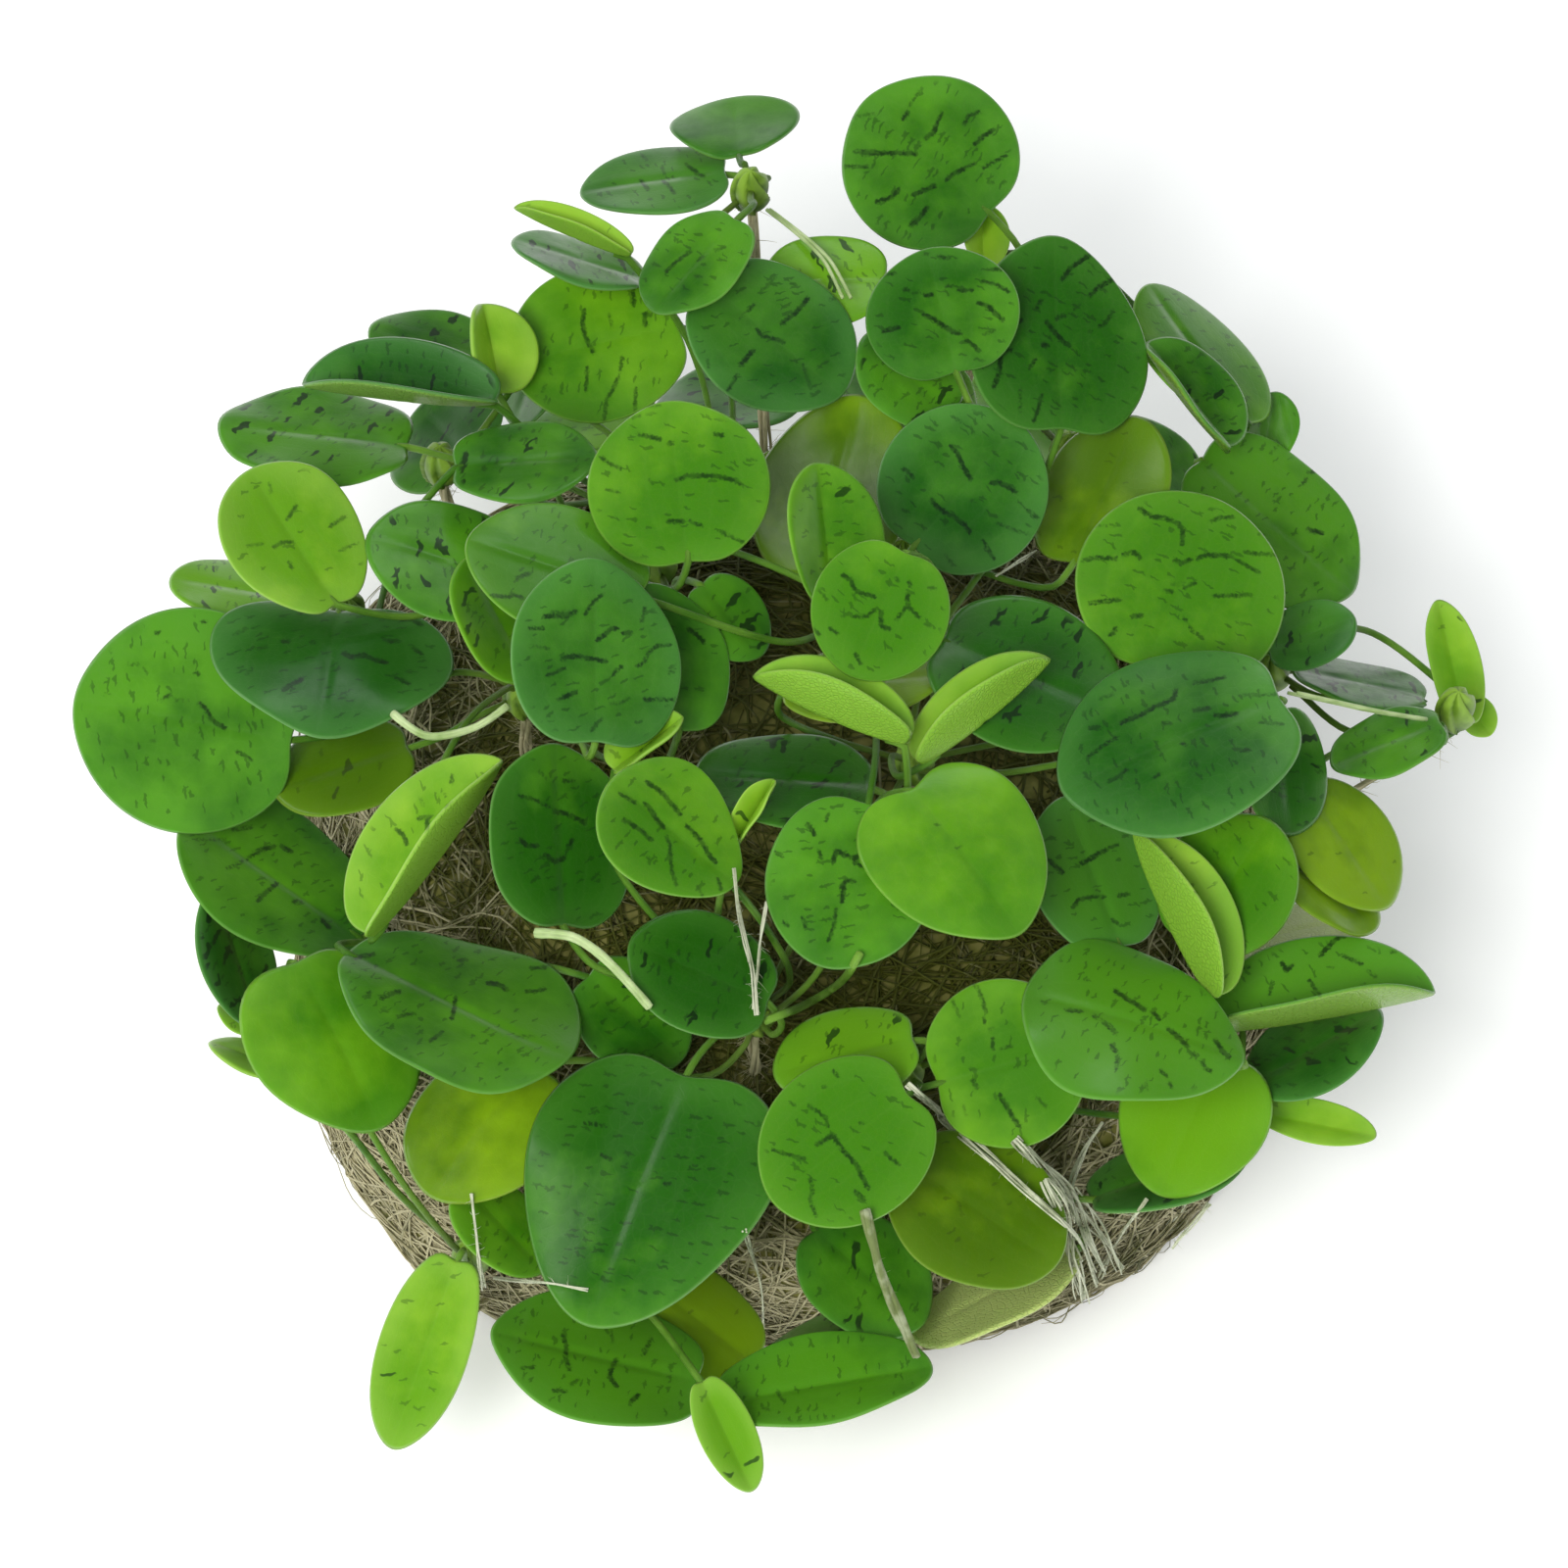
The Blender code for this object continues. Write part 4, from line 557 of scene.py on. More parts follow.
def clearSelection():
    if bpy.context.object and bpy.context.object.mode != "OBJECT":
        bpy.ops.object.mode_set(mode="OBJECT")
    bpy.ops.object.select_all(action="DESELECT")


def openSphere(segments, rings, radius):  # in edit mode, selected all over
    clearSelection()
    bpy.ops.mesh.primitive_uv_sphere_add(segments=segments, ring_count=rings, radius=radius)
    bpy.ops.object.mode_set(mode="EDIT")
    bpy.ops.mesh.select_all(action="SELECT")


def closeShape():  # its points, and its quads and triangles, for the pieces that copy it
    bpy.ops.object.mode_set(mode="OBJECT")
    shaped = bpy.context.object
    points = np.array([vertex.co[:] for vertex in shaped.data.vertices])
    faces = sorted(face.vertices[:] for face in shaped.data.polygons)  # a sphere's come in any order
    bpy.data.objects.remove(shaped)
    return points, [np.array([face for face in faces if len(face) == corners]) for corners in (4, 3)]


# The blades: one is modelled, and each leaf is a copy of it drawn out to its own form
blades = {
    "fineness": {False: (64, 30), True: (144, 60)},  # segments and rings, without and with drawn dashes
    "thickness": 1.0,      # mm at the middle
    "thinUnder": 10.0,     # mm of width under which a blade is thinner
    "rimFullness": 0.62,   # lower is rounder at the rim
    "groove": 0.14,        # mm, along the midrib
    "grooveHalf": 0.7,
    "wave": 0.016,         # of the rim, as a share of the width
    "waves": (3, 4, 5),
    "crease": 0.035,       # how softly a folded blade turns at its midrib
    "dashSwing": 0.5,      # how far scattered dashes turn from across the blade
    "patternShift": 40,    # mm that the scattered dashes are moved on each leaf, at most
    "clear": 3.0,          # mm to the nearest drawn dash where there is none
    "tones": 0.35,         # of the leaves that have none of their own below
    "toneLimit": 1.4,
}


def modelBlade(segments, rings):
    openSphere(segments, rings, 0.5)
    bpy.ops.mesh.flip_normals()  # the leaves' own axes are mirrored
    points, faces = closeShape()
    points = points * 2
    steep = np.arctan2(np.linalg.norm(points[:, :2], axis=1), np.abs(points[:, 2]))
    reach = np.minimum(0.5 * np.sin(steep) + steep / np.pi, 1.0)  # evens out the rings
    turn = np.arctan2(points[:, 1], -points[:, 0])
    half = np.where(np.abs(points[:, 2]) < 1e-4, 0, np.sign(points[:, 2]))
    level = half * (1 - reach ** 2) ** (blades["rimFullness"] / 2)
    return {"reach": reach, "turn": turn, "level": level, "faces": faces}


# Dark dashes on the blades. Those of the leaves on top are drawn where they are seen, each as the
# sheet places X, Y that it passes. On the other leaves they are scattered, as many as their kind has
dashGrades = {"dark": (0.24, 1.0), "mid": (0.19, 0.9), "faint": (0.15, 0.65)}  # half width, strength
dashes = {
    "back_round": {
        "dark": [(88.1, 15.7, 92.0, 15.6, 93.4, 15.7), (94.5, 14.1, 95.2, 13.6, 95.6, 12.6),
            (99.5, 14.7, 100.3, 13.9, 101.4, 13.3), (96.6, 18.3, 97.2, 17.8, 98.4, 17.2),
            (93.2, 19.9, 94.3, 19.4, 95.4, 19.0), (89.4, 20.6, 90.8, 20.2, 91.7, 19.4),
            (93.0, 23.0, 93.7, 22.4, 94.6, 21.2), (92.2, 12.1, 92.6, 11.5)],
        "mid": [(87.2, 15.5, 89.3, 15.4), (86.3, 17.0, 88.5, 17.0), (95.7, 12.4, 96.1, 11.6),
            (98.4, 12.7, 98.9, 11.7, 100.0, 11.4), (100.3, 17.1, 101.3, 16.6, 102.6, 15.9),
            (98.4, 17.2, 99.5, 16.7), (93.6, 15.1, 93.9, 14.7)],
        "faint": [(86.7, 12.0, 89.3, 11.6), (92.8, 10.8, 93.3, 10.0, 94.1, 9.0), (101.0, 18.6, 101.3, 18.6),
            (102.4, 18.6, 102.7, 18.5)],
    },
    "blue_middle": {
        "dark": [(79.8, 33.0, 81.2, 31.9, 82.4, 30.5), (75.7, 37.1, 76.8, 35.8)],
        "mid": [(74.3, 39.8, 75.2, 38.3), (71.3, 39.3, 71.8, 38.1),
            (77.2, 33.6, 77.8, 34.3, 78.8, 34.5, 80.0, 34.9), (76.3, 31.7, 76.9, 31.1)],
        "faint": [(75.5, 32.5, 76.0, 32.0), (77.6, 29.8, 79.1, 28.3), (84.7, 30.6, 85.8, 30.1),
            (82.0, 37.2, 82.3, 38.4, 82.7, 39.6), (80.7, 28.9, 81.4, 29.2), (72.2, 36.8, 72.3, 37.5)],
    },
    "streaked_back": {
        "dark": [(94.3, 32.1, 95.2, 32.5, 96.2, 33.2, 97.1, 33.8, 98.0, 34.0),
            (99.9, 30.9, 100.9, 31.3, 101.8, 32.2, 102.3, 32.6), (94.4, 30.1, 95.1, 30.1),
            (90.2, 33.8, 91.7, 33.4)],
        "mid": [(98.6, 34.7, 99.2, 35.1, 99.9, 35.8), (97.8, 29.6, 99.2, 29.6),
            (100.3, 28.7, 101.6, 29.0, 102.9, 29.7), (95.7, 26.2, 96.8, 26.3), (100.9, 27.5, 102.1, 27.5),
            (89.2, 28.4, 90.3, 28.0, 91.4, 27.9), (96.6, 29.2, 97.1, 29.2), (92.3, 29.6, 92.7, 29.6)],
        "faint": [(93.0, 29.9, 93.8, 29.8), (100.4, 34.1, 101.5, 33.7), (94.3, 25.9, 94.7, 25.9)],
    },
    "large_back": {
        "dark": [(108.4, 28.5, 109.1, 27.5, 109.9, 26.9, 111.1, 26.1),
            (111.3, 30.1, 112.1, 29.3, 113.1, 28.7, 114.1, 28.4),
            (106.8, 32.8, 107.4, 33.7, 108.3, 34.6, 109.1, 35.3), (107.9, 32.5, 108.6, 32.2),
            (106.4, 35.1, 106.9, 35.3), (102.5, 35.7, 103.1, 35.7), (102.1, 36.2, 102.0, 38.0, 101.4, 39.5),
            (103.0, 33.1, 104.2, 32.7)],
        "mid": [(112.2, 33.3, 112.7, 33.1, 113.6, 31.8), (105.1, 37.6, 105.6, 36.7),
            (106.3, 40.2, 106.0, 41.5, 105.5, 43.0), (105.7, 31.5, 106.3, 30.6)],
        "faint": [(109.6, 31.6, 110.2, 31.1), (104.1, 39.6, 104.1, 42.0), (116.0, 36.5, 116.6, 36.3),
            (111.1, 33.9, 111.4, 33.8)],
    },
    "bright_left": {
        "dark": [(59.6, 31.7, 59.4, 33.1, 59.8, 34.5, 60.5, 35.9), (64.5, 29.3, 64.7, 31.1),
            (66.4, 32.1, 65.7, 32.1, 65.9, 33.2)],
        "mid": [(59.9, 37.5, 59.8, 39.8), (63.5, 36.4, 63.3, 37.8),
            (63.1, 38.5, 62.5, 39.8, 61.9, 40.8, 61.7, 42.5, 61.3, 44.0), (64.9, 39.7, 64.8, 41.8),
            (67.1, 31.3, 67.6, 31.1, 67.9, 30.3)],
        "faint": [(62.1, 32.1, 62.5, 33.4), (56.1, 37.4, 56.2, 38.2), (55.7, 39.2, 55.3, 40.0),
            (63.6, 28.4, 64.8, 28.3), (61.5, 29.0, 61.3, 29.8)],
    },
    "centre_round": {
        "dark": [(69.0, 49.0, 70.0, 48.6, 71.6, 48.5, 73.2, 48.6, 75.0, 49.0), (66.1, 44.5, 67.3, 44.8),
            (68.3, 45.2, 68.6, 45.2), (68.2, 53.2, 69.7, 53.2), (73.0, 44.3, 73.7, 44.4)],
        "mid": [(65.1, 44.3, 66.1, 44.6), (61.3, 46.6, 62.2, 47.3, 63.3, 47.8), (75.0, 49.1, 75.8, 49.5),
            (70.4, 53.2, 71.7, 53.7), (73.6, 54.3, 75.8, 55.3)],
        "faint": [(61.9, 50.0, 63.2, 50.2), (66.4, 49.0, 66.6, 49.4), (76.2, 46.9, 77.2, 46.9),
            (64.5, 42.7, 65.4, 42.4), (66.2, 41.4, 67.3, 41.4)],
    },
    "round_dark": {
        "dark": [(97.0, 45.5, 97.7, 46.2, 98.1, 47.2, 98.6, 48.2, 99.1, 48.9),
            (101.1, 49.3, 102.0, 49.2, 103.0, 49.8, 103.6, 50.2),
            (95.0, 51.0, 95.7, 51.8, 96.6, 52.4, 97.5, 52.8, 98.3, 53.5, 99.0, 54.3)],
        "mid": [(92.2, 47.8, 92.8, 48.3, 93.2, 48.7), (100.3, 55.2, 101.0, 56.3, 101.4, 57.0),
            (104.9, 52.1, 105.8, 52.8), (105.0, 43.7, 106.2, 44.1)],
        "faint": [(101.8, 53.4, 103.5, 54.1, 105.0, 54.5), (97.2, 42.5, 98.0, 43.0),
            (96.5, 56.6, 97.2, 57.7), (99.1, 51.1, 99.4, 51.1)],
    },
    "round_right": {
        "dark": [(116.3, 51.9, 117.5, 52.7, 119.0, 52.9, 120.2, 53.4, 120.7, 54.0, 120.6, 55.5),
            (114.7, 56.6, 115.8, 56.3, 116.3, 56.9), (110.6, 57.2, 111.8, 56.9, 113.9, 57.0),
            (119.8, 57.1, 120.5, 57.5, 121.5, 57.1), (122.2, 57.0, 123.0, 56.6, 124.5, 56.7, 125.6, 56.8),
            (111.2, 61.6, 112.2, 61.4, 114.3, 61.2), (115.5, 62.9, 116.5, 62.8),
            (113.3, 64.8, 113.9, 64.1)],
        "mid": [(123.6, 53.2, 124.5, 52.8, 125.8, 52.8), (127.0, 56.3, 128.5, 56.6),
            (126.2, 57.1, 127.5, 57.9, 128.5, 58.4), (128.6, 56.5, 130.8, 56.6), (118.9, 60.2, 119.6, 60.4),
            (120.8, 60.0, 122.0, 59.5), (123.9, 60.8, 125.5, 60.8, 127.7, 60.7),
            (121.4, 64.1, 121.9, 64.5, 122.7, 65.1), (120.8, 63.1, 121.1, 63.4)],
        "faint": [(128.5, 54.5, 130.5, 54.5), (123.4, 52.0, 124.1, 51.9), (111.2, 53.6, 114.3, 53.6),
            (126.2, 63.5, 127.2, 63.7), (119.5, 59.7, 120.8, 59.6)],
    },
    "glossy_right": {
        "dark": [
            (114.3, 73.8, 115.0, 73.5, 116.0, 73.1, 117.0, 72.7, 117.8, 72.1,
             119.0, 71.7, 119.8, 71.3, 120.0, 70.4),
            (121.8, 72.5, 123.3, 72.3), (124.0, 73.0, 125.0, 73.0, 126.2, 72.8),
            (111.2, 74.3, 112.2, 74.2)],
        "mid": [(121.8, 69.7, 123.6, 69.4, 125.0, 69.1), (120.5, 75.8, 121.0, 76.0),
            (125.9, 76.4, 126.8, 76.6, 127.5, 76.5), (114.0, 75.2, 113.0, 75.8, 112.0, 76.5, 111.0, 77.3),
            (115.0, 78.5, 114.0, 79.3, 113.1, 79.8), (118.7, 73.8, 119.5, 73.8),
            (117.8, 79.3, 118.3, 79.0)],
        "faint": [(126.8, 70.9, 128.7, 70.9, 130.4, 70.8), (128.5, 73.7, 131.0, 73.9),
            (113.6, 70.8, 112.2, 71.3), (121.8, 77.5, 122.2, 78.3)],
    },
    "blue_left": {
        "dark": [(55.6, 62.9, 57.0, 62.9, 57.8, 62.9, 58.8, 62.4),
            (57.4, 67.2, 58.8, 66.9, 60.2, 67.2, 61.8, 67.5),
            (60.9, 65.3, 61.7, 64.8, 62.4, 64.1, 63.0, 64.1), (63.6, 64.6, 64.3, 64.6),
            (65.8, 71.4, 66.4, 71.4), (57.4, 71.2, 58.8, 70.6)],
        "mid": [(59.7, 62.7, 60.1, 62.0, 60.7, 61.3, 61.5, 60.6), (54.0, 64.1, 55.5, 64.1),
            (55.9, 68.9, 56.7, 68.6, 57.6, 68.2), (62.5, 68.9, 63.0, 68.4, 63.4, 68.0),
            (65.8, 62.0, 65.5, 63.4), (65.0, 68.0, 65.7, 67.6, 66.2, 66.6, 67.0, 65.9, 68.4, 65.8),
            (66.4, 71.4, 68.0, 71.4, 69.5, 71.4), (68.3, 68.6, 68.8, 68.4),
            (60.4, 74.5, 61.0, 73.7, 61.3, 73.4)],
        "faint": [(54.1, 65.9, 56.0, 66.2), (62.3, 71.8, 63.5, 71.7, 64.3, 71.2), (56.8, 71.4, 57.4, 71.3),
            (56.3, 62.4, 58.8, 62.5)],
    },
    "blue_left_twin": {
        "dark": [(70.3, 64.2, 71.1, 64.8, 71.8, 65.5)],
    },
    "streaked_under": {
        "mid": [(50.1, 60.8, 52.0, 60.9), (52.2, 60.6, 53.3, 61.0), (52.7, 59.0, 54.0, 58.5)],
        "faint": [(49.3, 62.5, 50.8, 62.1), (51.2, 64.3, 52.4, 64.0)],
    },
    "large_right": {
        "dark": [(133.5, 54.0, 134.9, 54.4)],
        "mid": [(133.0, 49.3, 133.3, 48.8), (133.5, 48.2, 134.3, 48.1)],
        "faint": [(129.6, 46.3, 130.3, 45.5)],
    },
    "right_tilted": {
        "faint": [(126.3, 41.5, 127.2, 41.4), (124.8, 42.0, 125.2, 42.0)],
    },
    "young_left": {
        "mid": [(27.9, 55.8, 28.7, 55.4, 29.9, 55.3), (29.3, 53.0, 30.0, 52.0, 30.2, 51.6),
            (33.7, 53.7, 34.5, 53.2, 35.2, 52.7), (29.5, 57.4, 29.8, 58.0)],
        "faint": [(34.7, 56.2, 36.0, 55.6, 36.6, 55.4), (24.4, 52.7, 24.8, 52.7), (25.2, 55.7, 26.8, 55.5),
            (27.5, 49.4, 27.7, 50.3)],
    },
    "wide_left": {
        "dark": [(35.0, 66.7, 36.0, 67.1, 37.1, 66.8, 38.1, 67.3, 39.4, 67.6),
            (28.9, 70.4, 29.7, 69.9, 30.8, 69.3)],
        "mid": [(28.7, 65.5, 29.5, 65.4), (31.7, 65.6, 32.1, 65.5), (40.3, 69.1, 41.8, 69.8),
            (39.1, 65.1, 39.8, 65.5, 40.8, 65.4), (40.8, 63.4, 41.7, 63.1, 43.1, 63.8),
            (42.1, 66.1, 43.1, 66.8)],
        "faint": [(25.1, 68.9, 25.7, 68.2), (30.7, 72.2, 31.3, 72.1), (34.6, 71.3, 35.2, 71.2),
            (26.1, 66.2, 27.3, 66.0), (23.9, 64.8, 25.2, 64.1)],
    },
    "widest_left": {
        "dark": [(20.3, 71.8, 20.9, 72.2, 21.4, 73.2, 22.1, 73.8, 23.0, 74.3)],
        "mid": [(16.3, 71.5, 16.8, 71.2, 17.5, 70.9), (20.6, 63.5, 21.0, 63.4), (19.9, 68.6, 20.3, 68.8),
            (24.1, 76.7, 24.7, 76.9, 25.7, 77.6), (15.9, 64.6, 16.3, 64.5)],
        "faint": [(18.0, 71.5, 19.2, 71.4), (16.8, 65.5, 17.3, 65.5), (14.7, 68.1, 15.0, 68.8),
            (13.0, 67.8, 14.2, 67.8), (15.3, 75.6, 15.9, 75.6), (10.5, 70.8, 11.2, 70.9)],
    },
    "spotted_fold": {
        "dark": [(42.7, 83.5, 44.0, 83.3), (43.6, 83.5, 43.6, 85.0), (40.5, 84.7, 41.1, 85.1, 41.5, 86.1)],
        "mid": [(44.7, 86.0, 44.4, 87.3, 44.5, 87.9), (43.3, 86.0, 43.0, 87.0), (48.1, 80.8, 48.3, 80.3),
            (46.1, 79.1, 46.1, 79.9), (42.3, 91.2, 42.7, 90.3), (40.7, 91.3, 40.5, 92.3)],
        "faint": [(42.9, 81.4, 43.2, 82.2), (45.5, 82.4, 46.2, 81.9), (48.0, 85.1, 48.5, 84.9),
            (46.3, 87.0, 46.8, 86.8), (45.0, 80.6, 45.5, 81.2)],
    },
    "dark_front": {
        "dark": [(53.1, 85.7, 53.8, 86.3, 54.8, 86.3), (55.7, 87.2, 56.6, 88.0, 57.6, 87.5),
            (57.8, 86.8, 58.4, 85.7), (56.6, 82.8, 58.0, 83.1, 58.8, 83.5, 59.7, 84.0)],
        "mid": [(53.0, 81.2, 54.5, 81.6, 56.0, 82.3), (57.5, 79.7, 58.5, 79.7)],
        "faint": [(55.0, 78.7, 55.8, 79.4)],
    },
    "broad_left": {
        "dark": [(25.8, 87.2, 26.7, 86.7, 28.0, 86.4), (28.7, 86.4, 29.7, 86.9),
            (26.3, 91.9, 27.2, 91.0, 28.2, 90.2), (32.9, 93.9, 33.6, 94.6)],
        "mid": [(23.2, 88.6, 24.6, 88.0, 25.8, 87.2), (25.5, 81.6, 26.4, 81.7), (29.9, 92.0, 30.7, 92.0),
            (23.8, 84.7, 25.7, 84.4), (33.1, 85.3, 33.6, 85.0)],
        "faint": [(20.0, 85.7, 23.0, 85.7), (34.3, 92.8, 34.7, 92.9)],
    },
    "streaked_tongue": {
        "dark": [(66.0, 79.8, 66.9, 80.4, 67.8, 81.1, 68.7, 82.2, 69.4, 83.1),
            (70.1, 84.3, 70.8, 85.0, 71.6, 85.9, 72.2, 87.0, 73.0, 88.0),
            (65.8, 82.0, 66.4, 82.6, 67.0, 83.6, 67.7, 84.4),
            (63.7, 83.7, 64.6, 84.2, 65.6, 84.9, 66.4, 85.7)],
        "mid": [(68.0, 85.4, 68.4, 86.2, 68.4, 87.6, 68.6, 89.0, 69.0, 90.3), (73.3, 89.7, 73.6, 90.8),
            (63.2, 81.0, 64.8, 81.9)],
        "faint": [(66.1, 87.4, 66.3, 88.1), (71.2, 90.5, 71.7, 91.5)],
    },
    "forked_middle": {
        "dark": [(85.0, 88.0, 85.3, 86.8, 86.3, 87.3, 87.2, 87.6, 88.2, 86.8),
            (87.2, 88.0, 88.5, 88.5, 89.3, 89.0), (85.8, 90.5, 86.3, 89.9, 87.1, 89.9),
            (86.1, 90.5, 85.9, 92.0), (82.4, 84.1, 82.9, 84.7, 83.1, 85.2)],
        "mid": [(85.3, 92.8, 85.1, 94.5, 84.5, 96.0), (79.2, 87.0, 79.8, 87.3), (83.6, 86.8, 83.8, 87.7),
            (80.0, 94.1, 80.4, 94.5), (81.9, 93.6, 82.2, 94.6), (84.3, 83.7, 84.5, 83.0)],
        "faint": [(76.8, 90.3, 78.0, 89.9), (80.7, 82.5, 81.2, 82.1)],
    },
    "sheen_right": {
        "dark": [(107.1, 87.8, 107.7, 88.4, 108.4, 89.0),
            (110.3, 88.1, 111.2, 87.7, 112.0, 87.1, 112.8, 86.8), (109.5, 92.6, 110.1, 91.8)],
        "mid": [(110.1, 91.8, 111.5, 91.5, 112.7, 91.5), (114.2, 91.4, 115.2, 91.2),
            (113.5, 93.9, 114.0, 94.2), (113.2, 86.5, 114.0, 86.2)],
    },
    "bright_fold": {
        "mid": [(119.1, 89.3, 119.0, 90.3), (121.3, 92.1, 122.0, 91.1), (121.2, 94.4, 121.9, 94.1),
            (116.8, 86.6, 117.2, 87.4)],
    },
    "white_edged": {
        "dark": [(134.7, 97.5, 135.4, 96.8, 136.2, 95.9, 137.5, 95.3),
            (130.8, 98.3, 131.3, 99.0, 131.9, 98.5)],
        "mid": [(129.5, 101.4, 129.9, 100.2), (133.6, 100.0, 134.1, 100.8, 134.7, 101.6),
            (137.0, 97.5, 138.2, 98.0, 139.0, 98.4), (139.6, 99.1, 140.4, 99.7),
            (126.6, 98.8, 127.4, 98.7)],
        "faint": [(135.5, 98.7, 136.1, 98.7), (141.8, 97.2, 142.5, 97.0), (139.0, 100.4, 139.3, 100.4)],
    },
    "front_right": {
        "dark": [(113.8, 101.1, 114.8, 101.8, 115.8, 102.4, 116.8, 103.0), (117.6, 103.3, 118.3, 104.0),
            (119.2, 105.0, 120.0, 105.6, 121.2, 106.8), (112.6, 104.3, 113.2, 104.7, 113.8, 105.4),
            (124.0, 106.2, 124.7, 107.2, 125.4, 107.9), (113.4, 106.7, 113.9, 107.3)],
        "mid": [(108.8, 103.1, 110.4, 103.2), (114.0, 107.6, 113.9, 109.2), (118.4, 109.2, 119.0, 109.8),
            (119.3, 110.5, 119.5, 110.9), (122.6, 108.3, 123.0, 109.0, 123.6, 109.3),
            (121.3, 107.3, 121.9, 107.7), (111.5, 103.6, 112.0, 103.9)],
        "faint": [(116.9, 110.3, 117.0, 111.3), (110.8, 100.0, 111.2, 100.0), (106.3, 102.2, 106.8, 102.3)],
    },
    "bright_front": {
        "dark": [(102.0, 111.7, 102.6, 112.7, 103.3, 113.9, 104.0, 114.9), (99.3, 110.3, 99.7, 111.0)],
        "mid": [(99.2, 100.3, 99.9, 101.0, 100.3, 102.2, 100.6, 103.2), (100.4, 103.9, 100.5, 104.3),
            (101.3, 106.0, 101.3, 107.0), (99.1, 109.1, 99.6, 109.2), (102.2, 107.0, 103.2, 106.7)],
        "faint": [(97.0, 101.7, 97.4, 102.6, 97.9, 103.7), (101.0, 105.1, 101.4, 104.9),
            (98.3, 112.8, 98.6, 113.8), (105.8, 112.0, 106.8, 113.0)],
    },
    "front_left": {
        "dark": [(46.5, 101.9, 46.4, 102.8, 46.1, 103.9), (49.8, 100.3, 50.8, 100.4, 51.7, 101.0),
            (38.9, 101.9, 39.8, 101.4, 40.7, 101.2), (36.3, 97.7, 38.1, 97.4)],
        "mid": [(37.2, 101.7, 37.8, 101.2), (40.5, 103.8, 41.3, 103.6, 42.3, 103.4),
            (43.9, 106.2, 45.2, 105.3), (46.8, 98.0, 47.6, 97.9), (53.6, 101.2, 54.6, 101.2, 55.6, 100.9),
            (54.1, 98.8, 55.8, 98.7), (47.1, 95.8, 47.7, 95.5)],
        "faint": [(38.8, 103.2, 39.4, 102.8), (52.5, 105.8, 54.5, 105.7), (50.1, 96.1, 51.0, 95.8)],
    },
    "largest": {
        "mid": [(59.6, 114.6, 60.5, 114.7, 61.8, 114.9), (61.3, 117.8, 62.4, 118.3),
            (67.7, 120.8, 68.5, 120.8)],
        "faint": [(63.4, 118.9, 64.0, 118.7), (65.3, 109.6, 66.0, 109.7), (66.6, 110.4, 67.4, 110.8),
            (66.6, 113.0, 67.5, 113.1), (71.2, 118.1, 72.0, 118.0), (56.9, 121.7, 57.3, 121.6)],
    },
    "round_front": {
        "dark": [(84.9, 115.7, 85.8, 117.1, 86.7, 118.1, 87.5, 119.0, 88.0, 120.2, 88.6, 121.2),
            (84.9, 115.8, 84.2, 116.3, 83.4, 116.8), (87.3, 121.6, 88.2, 122.5)],
        "mid": [(82.5, 112.8, 83.4, 113.4, 84.3, 114.1, 84.5, 115.0),
            (78.8, 117.3, 79.9, 117.7, 81.2, 118.0, 82.1, 118.2),
            (82.7, 120.3, 82.9, 121.6, 82.6, 122.4, 83.3, 124.1), (85.0, 109.3, 85.6, 109.9),
            (90.3, 117.6, 90.9, 118.2, 91.7, 118.8)],
        "faint": [(81.4, 110.6, 82.0, 110.9), (80.6, 112.5, 81.1, 112.8), (87.7, 114.6, 88.1, 114.6),
            (84.0, 110.9, 84.3, 110.9)],
    },
    "bottom_left": {
        "dark": [(57.5, 136.2, 57.8, 137.5, 57.7, 138.6, 58.1, 139.7),
            (62.9, 138.7, 62.4, 139.6, 62.2, 140.5, 62.9, 141.4), (64.5, 142.9, 65.1, 142.4)],
        "mid": [(59.0, 140.8, 58.2, 141.3), (57.7, 142.0, 56.5, 141.9), (53.3, 139.6, 54.5, 139.5),
            (66.4, 136.6, 66.0, 137.6, 65.6, 138.3)],
        "faint": [(62.4, 135.8, 62.5, 137.0), (68.2, 139.5, 68.6, 139.5)],
    },
    "lying_front": {
        "mid": [(74.8, 144.0, 75.8, 144.7), (79.3, 142.0, 80.0, 143.0)],
        "faint": [(77.8, 143.7, 78.5, 143.8)],
    },
    "back_sheen": {
        "mid": [(70.3, 17.0, 71.0, 17.5, 71.7, 18.0), (67.7, 18.5, 68.3, 19.0, 68.8, 19.7),
            (65.4, 18.4, 66.1, 19.3)],
        "faint": [(66.2, 20.3, 66.5, 20.3), (65.4, 15.8, 66.0, 16.3), (67.6, 17.0, 67.8, 17.8)],
    },
    "back_hanging": {
        "mid": [(68.0, 27.7, 68.9, 26.8, 70.4, 25.7)],
        "faint": [(73.0, 25.5, 74.0, 25.2), (71.2, 26.6, 71.8, 26.2), (70.9, 28.2, 71.5, 28.2)],
    },
    "small_forked": {
        "dark": [(86.0, 58.7, 86.8, 59.2, 87.1, 60.0, 87.6, 60.4, 89.2, 60.9),
            (89.9, 62.4, 89.9, 63.8, 90.7, 64.2), (92.6, 60.7, 92.6, 61.8)],
        "mid": [(87.2, 62.9, 88.4, 62.9, 89.4, 62.1), (92.6, 61.8, 91.5, 63.2), (92.6, 61.8, 93.8, 63.0),
            (92.8, 59.4, 92.9, 59.8), (84.7, 64.1, 85.4, 64.6), (83.0, 64.2, 83.6, 64.7),
            (87.3, 66.7, 87.8, 67.7)],
        "faint": [(91.4, 59.0, 91.7, 59.3), (94.8, 60.0, 95.5, 60.0), (85.9, 62.9, 86.2, 62.9),
            (83.5, 60.2, 84.4, 61.2), (94.4, 63.7, 95.0, 63.9)],
    },
